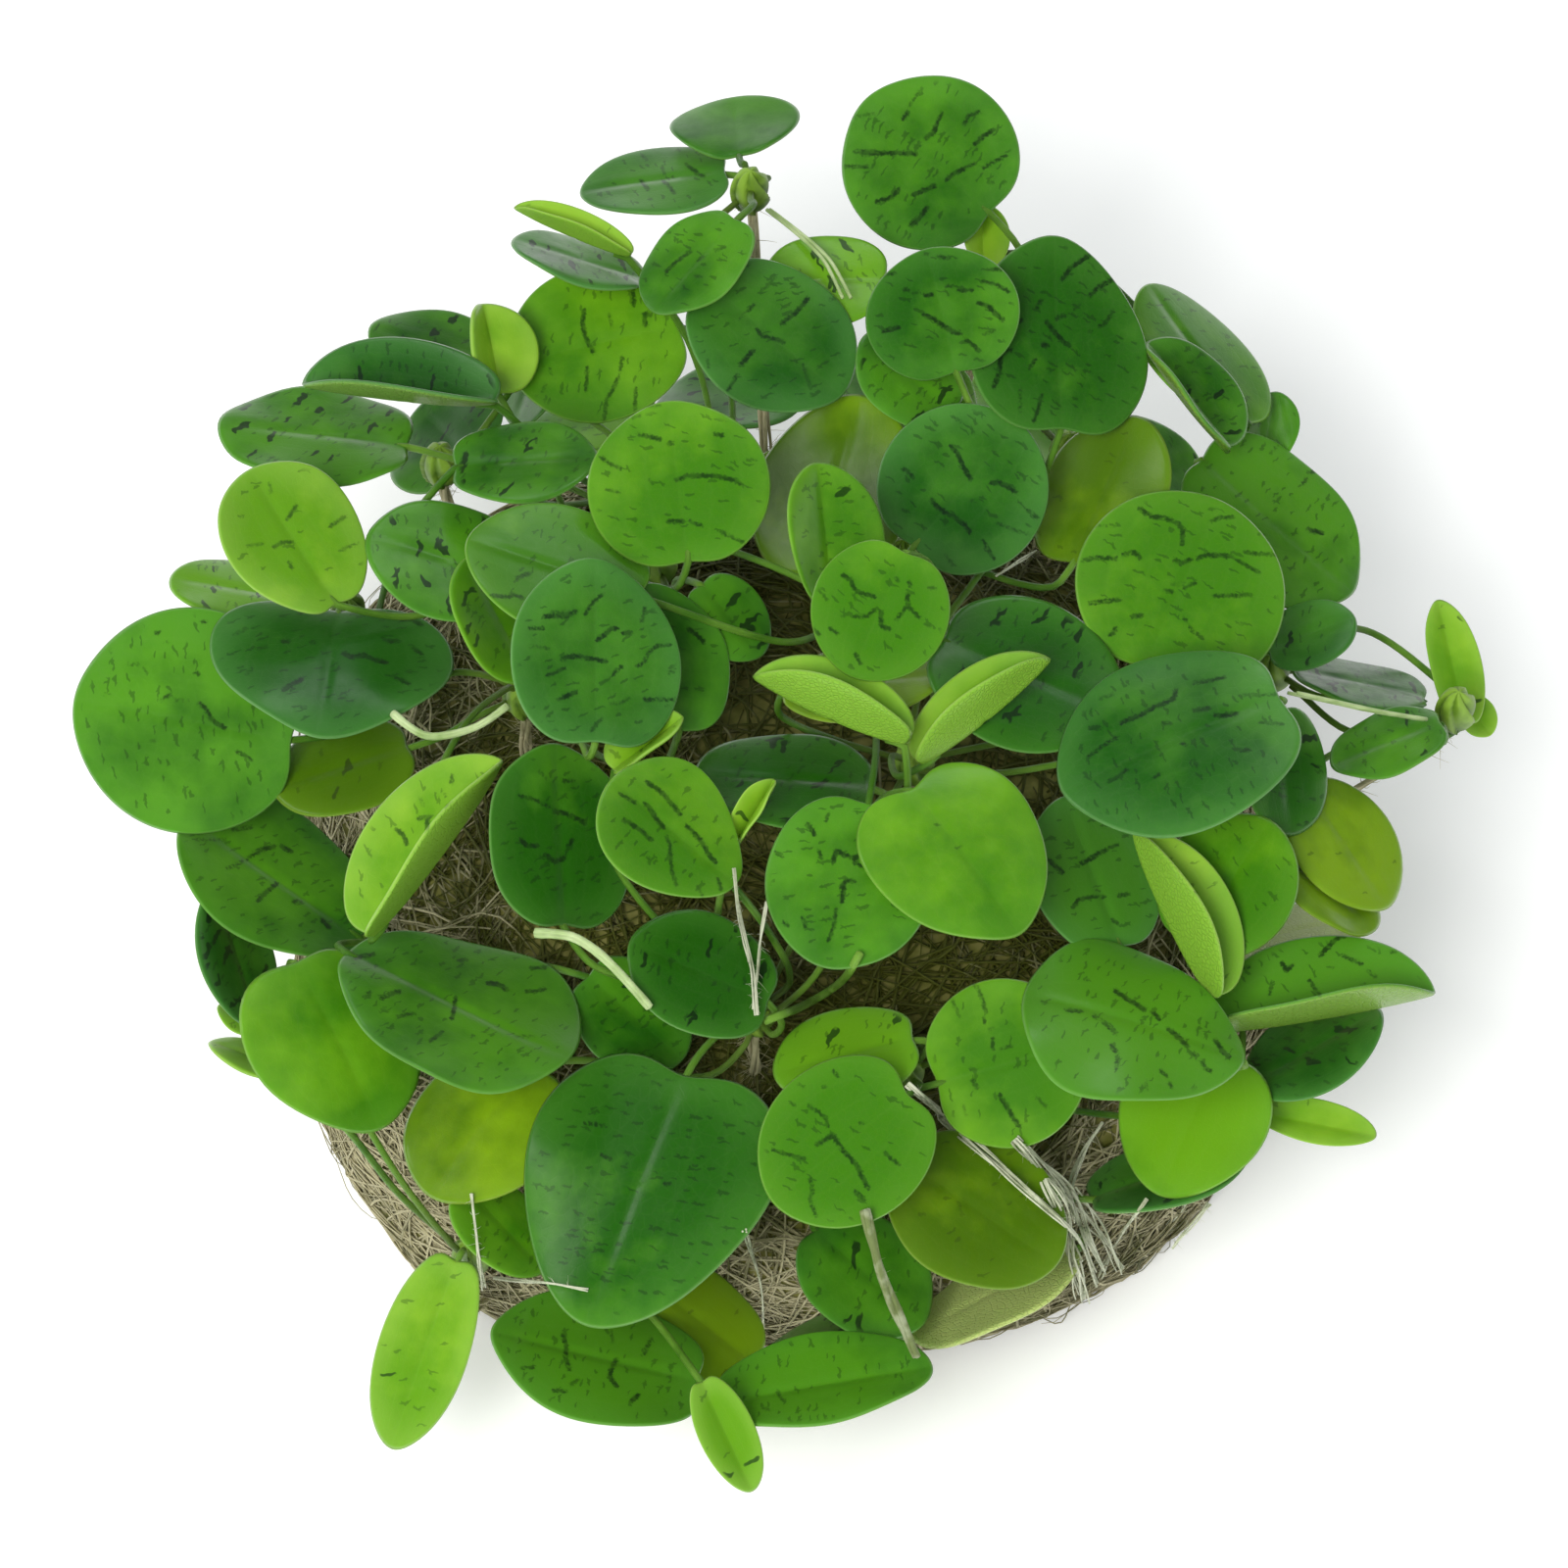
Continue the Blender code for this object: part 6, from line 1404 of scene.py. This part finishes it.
leafRelief = (0.00012, 0.6)


def setFixed(node, values):
    for name, value in values.items():
        node.inputs[name].default_value = value


def makeLeafMaterials():
    leafGroup = makeLeafGroup(makeStreakGroup(), makeVeinGroup())
    for name, colours in leafColours.items():
        tree, skin, made = makeSkin(name, leafGroup, colours, leafRelief)
        tree.links.new(made["Roughness"], skin.inputs["Roughness"])
        setFixed(skin, leafGloss)


# Stems, crowns, runners and roots
stemColours = {
    "stalkSkin": {"Dark": (58, 104, 18), "Light": (108, 150, 50), "Base": (84, 100, 36), "Scale": 160.0},
    "crownSkin": {"Dark": (62, 96, 14), "Light": (122, 156, 50), "Base": (96, 88, 40), "Scale": 420.0},
    "runnerSkin": {"Dark": (124, 158, 74), "Light": (196, 214, 158), "Base": (176, 190, 140), "Scale": 240.0},
    "rootThread": {"Dark": (84, 88, 28), "Light": (200, 192, 152), "Base": (156, 140, 98), "Scale": 260.0},
    "rootFelt": {"Dark": (98, 100, 42), "Light": (136, 132, 76), "Base": (116, 110, 58), "Scale": 520.0},
    "rootWhite": {"Dark": (120, 134, 78), "Light": (226, 230, 200), "Base": (176, 186, 140), "Scale": 380.0},
}
stemRoughness = {"stalkSkin": 0.4, "crownSkin": 0.5, "runnerSkin": 0.3, "rootThread": 0.62, "rootFelt": 0.85,
                 "rootWhite": 0.5}
stemGlow = {"stalkSkin": 0.15, "runnerSkin": 0.15}  # how far light shines through them
stemGloss = {"Subsurface Radius": (0.6, 0.8, 0.3), "Subsurface Scale": 0.001}
stemRelief = (0.0002, 0.7)


def makeStemMaterials():
    stemGroup = makeStemGroup()
    for name, colours in stemColours.items():
        tree, skin, made = makeSkin(name, stemGroup, colours, stemRelief)
        setFixed(skin, {"Roughness": stemRoughness[name], "Subsurface Weight": stemGlow.get(name, 0.0)})
        setFixed(skin, stemGloss)


makeLeafMaterials()
makeStemMaterials()
print("materials made:", len(materials))


def finishPiece(piece, slot, *nodes):
    if nodes:
        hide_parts(*nodes)
    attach(piece, "root")


masters = {drawn: modelBlade(*fineness) for drawn, fineness in blades["fineness"].items()}
crownMaster = modelCrown()
for leaf in leaves:
    if leaf.separate:
        shape = Shape()
        addBlade(shape, leaf)
        addStalk(shape, leaf)
        finishPiece(shape.make(leaf.name + "_leaf"), leaf.kind + "_leaf", "leaf_" + leaf.name)
print("large leaves made")

for crown in crowns:
    chance = random.Random(crown.name)
    shape = Shape()
    addCrown(shape, crown)
    for leaf in crown.leaves:
        addBlade(shape, leaf)
        addStalk(shape, leaf)
    knots = crown.strandPath()
    knots.append(knots[-1] + unit(knots[-1] - knots[-2]) * strandForm["deeper"])
    path = smoothPath(knots, strandForm["spacing"])
    addThreads(shape, path, strandForm["threads"], strandForm["thread"], strandForm["wind"], chance, tone=0.5)
    addHairs(shape, path, hairForm["count"], hairForm["length"], hairForm["radius"], chance, tone=0.5)
    finishPiece(shape.make(crown.name + "_plant"), "plant", "plant_" + crown.name)
print("plants made")


# The runners: pale cords with a ring where each joint is. Two are pairs of thin stems, and the
# one that hangs is a bundle of roots. Sizes are in half widths unless they say otherwise
runnerForm = {
    "rings": 40,           # more than any runner has
    "spacing": 0.6,        # mm
    "sides": 14,
    "joints": (0.06, 0.52, 0.94),
    "jointHalf": 0.03,     # of the length
    "jointSwell": 0.12,
    "thinning": 0.15,
    "pairs": ("back_curl", "far_right_runner"),
    "pairApart": (0.7, 1.4),   # at the start, and how much more at the end
    "pairRise": 0.3,
    "pairHalf": 0.52,
    "bundles": ("front_hanging",),
    "bundleThreads": 7,
    "bundleThread": 0.5,
    "bundleWind": 0.42,
    "bundleHairs": 60,
}
whiteHair = {"radius": 0.03, "bundle": 0.6, "loose": 0.8}  # mm: their half width and lengths
for name, half, start in runnerTable:
    node = Node("runner_" + name)
    away = np.linalg.norm(toSheet(node.points) - start, axis=1)
    ring = set(int(i) for i in np.argsort(away)[:4])
    knots = [node.points[sorted(ring)].mean(axis=0)] + ringWalk(node, ring, runnerForm["rings"], ring)
    path = smoothPath(knots, runnerForm["spacing"])
    share = np.linspace(0, 1, len(path))
    swell = sum(np.exp(-(((share - joint) / runnerForm["jointHalf"]) ** 2)) for joint in runnerForm["joints"])
    radii = half * (1 + runnerForm["jointSwell"] * swell) * (1 - runnerForm["thinning"] * share)
    shape = Shape()
    if name in runnerForm["bundles"]:
        chance = random.Random(name)
        addThreads(shape, path, runnerForm["bundleThreads"], half * runnerForm["bundleThread"],
                   half * runnerForm["bundleWind"], chance, tone=-0.55, taper=0.15, finish="rootWhite")
        addHairs(shape, path, runnerForm["bundleHairs"], whiteHair["bundle"], whiteHair["radius"], chance,
                 tone=-0.4, finish="rootWhite")
    elif name in runnerForm["pairs"]:
        narrow, more = runnerForm["pairApart"]
        apart = np.outer(half * (narrow + more * share), sideways + toward * runnerForm["pairRise"])
        for aside in (-0.5, 0.5):
            shape.addTube(path + aside * apart, radii * runnerForm["pairHalf"], runnerForm["sides"],
                          "runnerSkin", tone=0.3)
    else:
        shape.addTube(path, radii, runnerForm["sides"], "runnerSkin", tone=0.2)
    finishPiece(shape.make(name + "_runner"), "runner", "runner_" + name)
print("runners made")


# The root mass: a felted body in a tangle of threads that mostly run round it. Sizes are in mm
rootForm = {
    "inset": 0.5,          # of the felted body under the threads
    "cuts": 3,
    "lumps": 0.5,
    "lumpScales": (90, 260),   # to a metre
    "fineLumps": 0.6,      # of the large ones
    "floorGap": 0.05,
}
threadForm = {
    "batches": 4,
    "count": 2200,         # in each batch
    "knots": 13,
    "step": 2.3,
    "girth": (0.07, 0.20),
    "lift": (-0.15, 0.55),     # off the solid
}
rootHairForm = {"seed": 77, "count": 700, "knots": 9, "step": 1.3, "girth": (0.05, 0.09), "lift": (0.6, 1.5)}
threadWay = {
    "flatTop": 0.9,        # faces more upright than this are the top, where fewer threads start
    "topShare": 0.55,
    "strays": (0.25, 0.45, 1.1),   # how far threads head off their way round
    "turning": 0.16,
    "jitter": 0.12,
    "turningKept": 0.8,
    "newTurning": 0.10,
    "waves": (3, 9),
    "waveHeight": 0.35,
    "endDip": 0.9,
    "endThinning": 0.55,
}
# Painted shade on the threads under the leaves, over old roots that are darker there, and darker toward the
# right
threadToneAndShade = {             # dark under the leaves, pale low on the outside
    "dark": -1.05,
    "pale": 1.5,
    "outside": (30, 48),   # pale from this far out to this far out
    "below": (36, 26),     # and from this height down to this height
    "toRight": -0.008,
    "uneven": 0.26,
}


def rootSurface():
    mesh = mergedMesh("root_mass")
    bmesh.ops.scale(mesh, vec=(1 / mm,) * 3, verts=mesh.verts)
    tree = BVHTree.FromBMesh(mesh)
    faces = [([vertex.co.copy() for vertex in face.verts], face.calc_area(), face.normal.copy())
             for face in mesh.faces]
    mesh.free()
    return tree, faces


def feltBody():
    clearSelection()
    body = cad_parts["root_mass"].copy()
    body.data = body.data.copy()
    body.name = "rootFelt"
    bpy.context.scene.collection.objects.link(body)
    body.hide_render = body.hide_viewport = False
    body.select_set(True)
    bpy.context.view_layer.objects.active = body
    bpy.ops.object.mode_set(mode="EDIT")
    bpy.ops.mesh.select_all(action="SELECT")
    bpy.ops.mesh.remove_doubles(threshold=finding["merge"] * mm)
    bpy.ops.mesh.tris_convert_to_quads()
    bpy.ops.mesh.subdivide(number_cuts=rootForm["cuts"])
    bpy.ops.transform.shrink_fatten(value=-rootForm["inset"] * mm)
    bpy.ops.object.mode_set(mode="OBJECT")
    large, fine = rootForm["lumpScales"]
    for vertex in body.data.vertices:
        swell = noise.noise(vertex.co * large) + rootForm["fineLumps"] * noise.noise(vertex.co * fine)
        vertex.co += vertex.normal * (rootForm["lumps"] * mm * swell)
        vertex.co.z = max(vertex.co.z, 0.0)
    body.data.materials.clear()
    body.data.materials.append(materials["rootFelt"])
    body.data.shade_smooth()
    return body


def looseVector(chance, spread):
    return Vector([chance.gauss(0, spread) for _ in range(3)])


def threadPaths(form, chance):
    way = threadWay
    areas = np.cumsum([area * (way["topShare"] if normal.z > way["flatTop"] else 1.0)
                       for _, area, normal in rootFaces])
    lines, lineNormals = [], []
    for _ in range(form["count"]):
        corners, _, normal = rootFaces[int(np.searchsorted(areas, chance.random() * areas[-1]))]
        a, b = sorted((chance.random(), chance.random()))
        place = corners[0] * a + corners[1] * (b - a) + corners[2] * (1 - b)
        around = Vector((-place.y, place.x, 0)).normalized() * chance.choice((-1, 1))
        stray = looseVector(chance, 1)
        heading = around + stray * chance.choice(way["strays"])
        turning = looseVector(chance, way["turning"])
        line, normals = [], []
        for _ in range(form["knots"]):
            line.append(place[:])
            normals.append(normal[:])
            heading = heading + turning + looseVector(chance, way["jitter"])
            heading = (heading - normal * heading.dot(normal)).normalized()
            place, normal, _, _ = rootTree.find_nearest(place + heading * form["step"])
            turning = turning * way["turningKept"] + looseVector(chance, way["newTurning"])
        lines.append(line)
        lineNormals.append(normals)
    return np.array(lines), np.array(lineNormals)


def smoothRows(rows):  # rounds the corners of many lines at once, ends kept
    eased = rows.copy()
    eased[:, 1:-1] = rows[:, 1:-1] * 0.5 + (rows[:, :-2] + rows[:, 2:]) * 0.25
    return eased


def addThreadBatch(name, form, chance):
    count, knots, way = form["count"], form["knots"], threadWay
    lines, normals = threadPaths(form, chance)
    lines, normals = smoothRows(lines), smoothRows(smoothRows(normals))
    normals /= np.linalg.norm(normals, axis=2)[..., None]
    luck = np.random.default_rng(chance.randrange(10 ** 6))
    share = np.linspace(0, 1, knots)[None]
    toEnds = np.abs(2 * share - 1)
    each = (count, 1)
    level = luck.uniform(*form["lift"], each)
    waves = np.sin(share * luck.uniform(*way["waves"], each) + luck.uniform(0, 6, each))
    level = level + way["waveHeight"] * waves - way["endDip"] * toEnds ** 6
    lines = lines + normals * level[..., None]
    along = headings(lines)
    side = np.cross(along, normals)
    side /= np.linalg.norm(side, axis=2)[..., None]
    radii = luck.uniform(*form["girth"], each) * (1 - way["endThinning"] * toEnds ** 3)
    points = ringPoints(lines, radii, (0.5, 2.6, 4.7), side, np.cross(side, along)).reshape(-1, 3)
    points[:, 2] = np.maximum(points[:, 2], rootForm["floorGap"])

    firsts = (np.arange(count) * knots * 3)[:, None, None]
    ends = np.array([(2, 1, 0), (3 * knots - 3, 3 * knots - 2, 3 * knots - 1)])
    quads = (ringQuads(knots, 3)[None] + firsts).reshape(-1, 4)
    caps = (ends[None] + firsts).reshape(-1, 3)
    roundBy = np.tile((0, 0.33, 0.66), knots * count)
    alongBy = np.tile(np.repeat(np.arange(knots) * form["step"] / mapUnit, 3), count)
    threadMap = np.stack((roundBy, alongBy), axis=1)
    middles = lines[:, knots // 2]
    # painted shade darkens the threads under the leaves, over the darker old roots there
    (near, far), (top, low) = threadToneAndShade["outside"], threadToneAndShade["below"]
    outside = np.clip((np.linalg.norm(middles[:, :2], axis=1) - near) / (far - near), 0, 1)
    below = np.clip((top - middles[:, 2]) / (top - low), 0, 1)
    tone = (threadToneAndShade["dark"] + threadToneAndShade["pale"] * outside * below + threadToneAndShade["toRight"] * middles[:, 0]
            + luck.normal(0, threadToneAndShade["uneven"], count))
    shape = Shape()
    shape.add(points, (quads, caps), "rootThread", threadMap, threadMap, tone=np.repeat(tone, knots * 3))
    finishPiece(shape.make(name), "roots")


rootTree, rootFaces = rootSurface()
finishPiece(feltBody(), "roots", "root_mass")
for batch in range(threadForm["batches"]):
    addThreadBatch("rootThreads%d" % (batch + 1), threadForm, random.Random(batch))
addThreadBatch("rootHairs", rootHairForm, random.Random(rootHairForm["seed"]))
print("root mass made")


# Loose roots that show among the leaves, each lying on what it is seen on: half width, threads,
# and the sheet places that it passes. The one with a single thread is a green stem
looseForm = {
    "thread": 0.13,
    "hairs": 10,           # for each thread
    "lift": 0.5,           # mm off what it lies on
    "spacing": 0.7,
    "onRoots": 20,         # depth from which the root mass is sought where nothing else is in sight
}
looseRoots = {
    "rootBundleRight": (0.55, 7, [(92.6, 110.6), (96.8, 114.5), (102.9, 119.9), (107.1, 123.5),
                                  (110.1, 126.5), (111.9, 131.3)]),
    "rootBundleMiddle": (0.70, 9, [(103.5, 116.3), (105.9, 118.7), (108.9, 121.7), (110.7, 125.9),
                                   (112.5, 129.5)]),
    "rootBundleLow": (0.85, 9, [(106.6, 120.4), (108.4, 123.2), (109.2, 126.6), (110.0, 130.0),
                                (110.6, 132.6)]),
    "rootBundleFan": (0.80, 7, [(109.2, 121.6), (111.0, 124.2), (113.0, 127.0), (114.6, 129.4)]),
    "rootBranchUp": (0.30, 4, [(112.5, 114.5), (110.6, 117.6), (109.2, 121.1), (109.6, 124.6)]),
    "rootBranchRight": (0.25, 4, [(117.0, 122.3), (114.9, 125.3), (113.1, 128.3), (112.2, 130.4)]),
    "rootPadRight": (0.35, 4, [(121.0, 122.8), (119.6, 124.8), (117.8, 126.8), (116.6, 128.4)]),
    "rootPadFar": (0.30, 3, [(123.4, 122.8), (122.2, 124.2), (120.8, 125.8), (119.6, 127.4)]),
    "rootFrontLeft": (0.26, 3, [(48.1, 121.8), (48.8, 127.6), (49.4, 131.5)]),
    "rootFrontCross": (0.22, 2, [(50.4, 130.4), (55.2, 130.8), (60.0, 131.6)]),
    "rootFrontMiddle": (0.22, 3, [(76.0, 125.6), (77.6, 131.0), (78.0, 136.3)]),
    "rootUpright": (0.30, 4, [(74.8, 88.6), (75.6, 94.0), (76.6, 99.0), (77.2, 103.6)]),
    "rootUprightTwin": (0.22, 3, [(78.2, 92.0), (77.6, 96.0), (77.2, 100.0), (77.0, 103.0)]),
    "rootGapWhite": (0.18, 2, [(101.6, 58.8), (103.6, 57.6), (105.8, 56.2)]),
    "stemAcross": (0.42, 1, [(87.8, 97.2), (86.0, 100.0), (82.4, 102.4), (78.0, 104.2)]),
}


def everySurface():
    mesh = bmesh.new()
    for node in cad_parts.values():
        mesh.from_mesh(node.data)
    bmesh.ops.scale(mesh, vec=(1 / mm,) * 3, verts=mesh.verts)
    tree = BVHTree.FromBMesh(mesh)
    mesh.free()
    return tree


def nearby(values):  # each value with the two before it and the two after it
    padded = np.pad(values, 2, mode="edge")
    return [padded[i:i + len(values)] for i in range(5)]


def drape(places, lift):  # a line over what is seen at these places, without sharp steps
    line = smoothPath([(x, y, 0.0) for x, y in places], looseForm["spacing"])
    depths = []
    for place in line:
        hit = surfaces.ray_cast(Vector(eye), Vector(unit(fromSheet(place, 0) - eye)))[0]
        if hit is None:
            hit = rootTree.find_nearest(Vector(fromSheet(place, looseForm["onRoots"])))[0]
        depths.append((np.array(hit) - aim) @ toward)
    eased = np.mean(nearby(np.max(nearby(depths), axis=0)), axis=0)
    return np.array([fromSheet(place, depth + lift) for place, depth in zip(line, eased)])


surfaces = everySurface()
for name, (radius, threads, places) in looseRoots.items():
    chance = random.Random(name)
    path = drape(places, looseForm["lift"] + radius)
    shape = Shape()
    if threads > 1:
        addThreads(shape, path, threads, looseForm["thread"], radius, chance, tone=0.55, taper=0.3,
                   finish="rootWhite")
        addHairs(shape, path, looseForm["hairs"] * threads, whiteHair["loose"], whiteHair["radius"], chance,
                 tone=0.3, finish="rootWhite")
    else:
        shape.addTube(path, np.full(len(path), radius), stalks["sides"], "stalkSkin", tone=0.9)
    finishPiece(shape.make(name), "roots")
print("loose roots made")


# The pale floor, the soft studio light and the camera
studio = {
    "floorSize": 6.0,
    "floor": (0.93, 0.93, 0.92),
    "floorDrift": (4.0, 0.985),  # scale, and how dark the darker places are
    "floorRoughness": 0.8,
    "floorGlow": 0.12,
    "sky": 0.66,
    "skyColour": (0.95, 0.98, 1.0, 1),
    "lampsTo": (0, 0, 0.03),
    "sensor": 36.0,
    "clip": (0.05, 20.0),
}
clearSelection()
bpy.ops.mesh.primitive_plane_add(size=studio["floorSize"], location=(0, 0, 0))
floor = bpy.context.object
floor.name = "studioFloor"
material, tree, skin = newMaterial("floorPaper")
driftScale, darker = studio["floorDrift"]
paper = blend(tree, grain(tree, ownPlace(tree), driftScale), (*studio["floor"], 1),
              (*(part * darker for part in studio["floor"]), 1))
tree.links.new(paper, skin.inputs["Base Color"])
setFixed(skin, {"Roughness": studio["floorRoughness"], "Emission Color": (1, 1, 1, 1),
                "Emission Strength": studio["floorGlow"]})
floor.data.materials.append(material)

softBoxes = {  # place, size, watts, colour, and whether the leaves mirror it
    "backBox": ((0.1, 0.95, 0.75), (0.5, 0.25), 0.9, (0.92, 0.98, 1.0), True),
    "leftBox": ((-1.0, 0.3, 0.7), (0.4, 0.4), 1.4, (1.0, 1.0, 0.98), True),
    "frontBox": ((-0.35, -0.75, 1.15), (0.6, 0.6), 18.0, (1.0, 1.0, 0.98), False),
}
for name, (place, size, power, colour, mirrored) in softBoxes.items():
    light = bpy.data.lights.new(name, "AREA")
    light.shape = "RECTANGLE"
    light.size, light.size_y = size
    light.energy, light.color = power, colour
    lamp = bpy.data.objects.new(name, light)
    lamp.visible_glossy = mirrored
    lamp.location = place
    lamp.rotation_euler = (Vector(studio["lampsTo"]) - Vector(place)).to_track_quat("-Z", "Y").to_euler()
    bpy.context.scene.collection.objects.link(lamp)

world = bpy.data.worlds.new("studioSky")
world.use_nodes = True
setFixed(world.node_tree.nodes["Background"], {"Color": studio["skyColour"], "Strength": studio["sky"]})
world.cycles_visibility.glossy = False  # the sheen on the blades comes from the boxes alone
bpy.context.scene.world = world
bpy.context.scene.view_settings.view_transform = "Standard"

lens = bpy.data.cameras.new("sightCamera")
lens.sensor_width = studio["sensor"]
lens.lens = studio["sensor"] * sight["distance"] / sight["sheet"]
lens.clip_start, lens.clip_end = studio["clip"]
camera = bpy.data.objects.new("sightCamera", lens)
camera.location = Vector(eye) * mm
camera.rotation_euler = (math.pi / 2 - tilt, 0, 0)
bpy.context.scene.collection.objects.link(camera)
bpy.context.scene.camera = camera
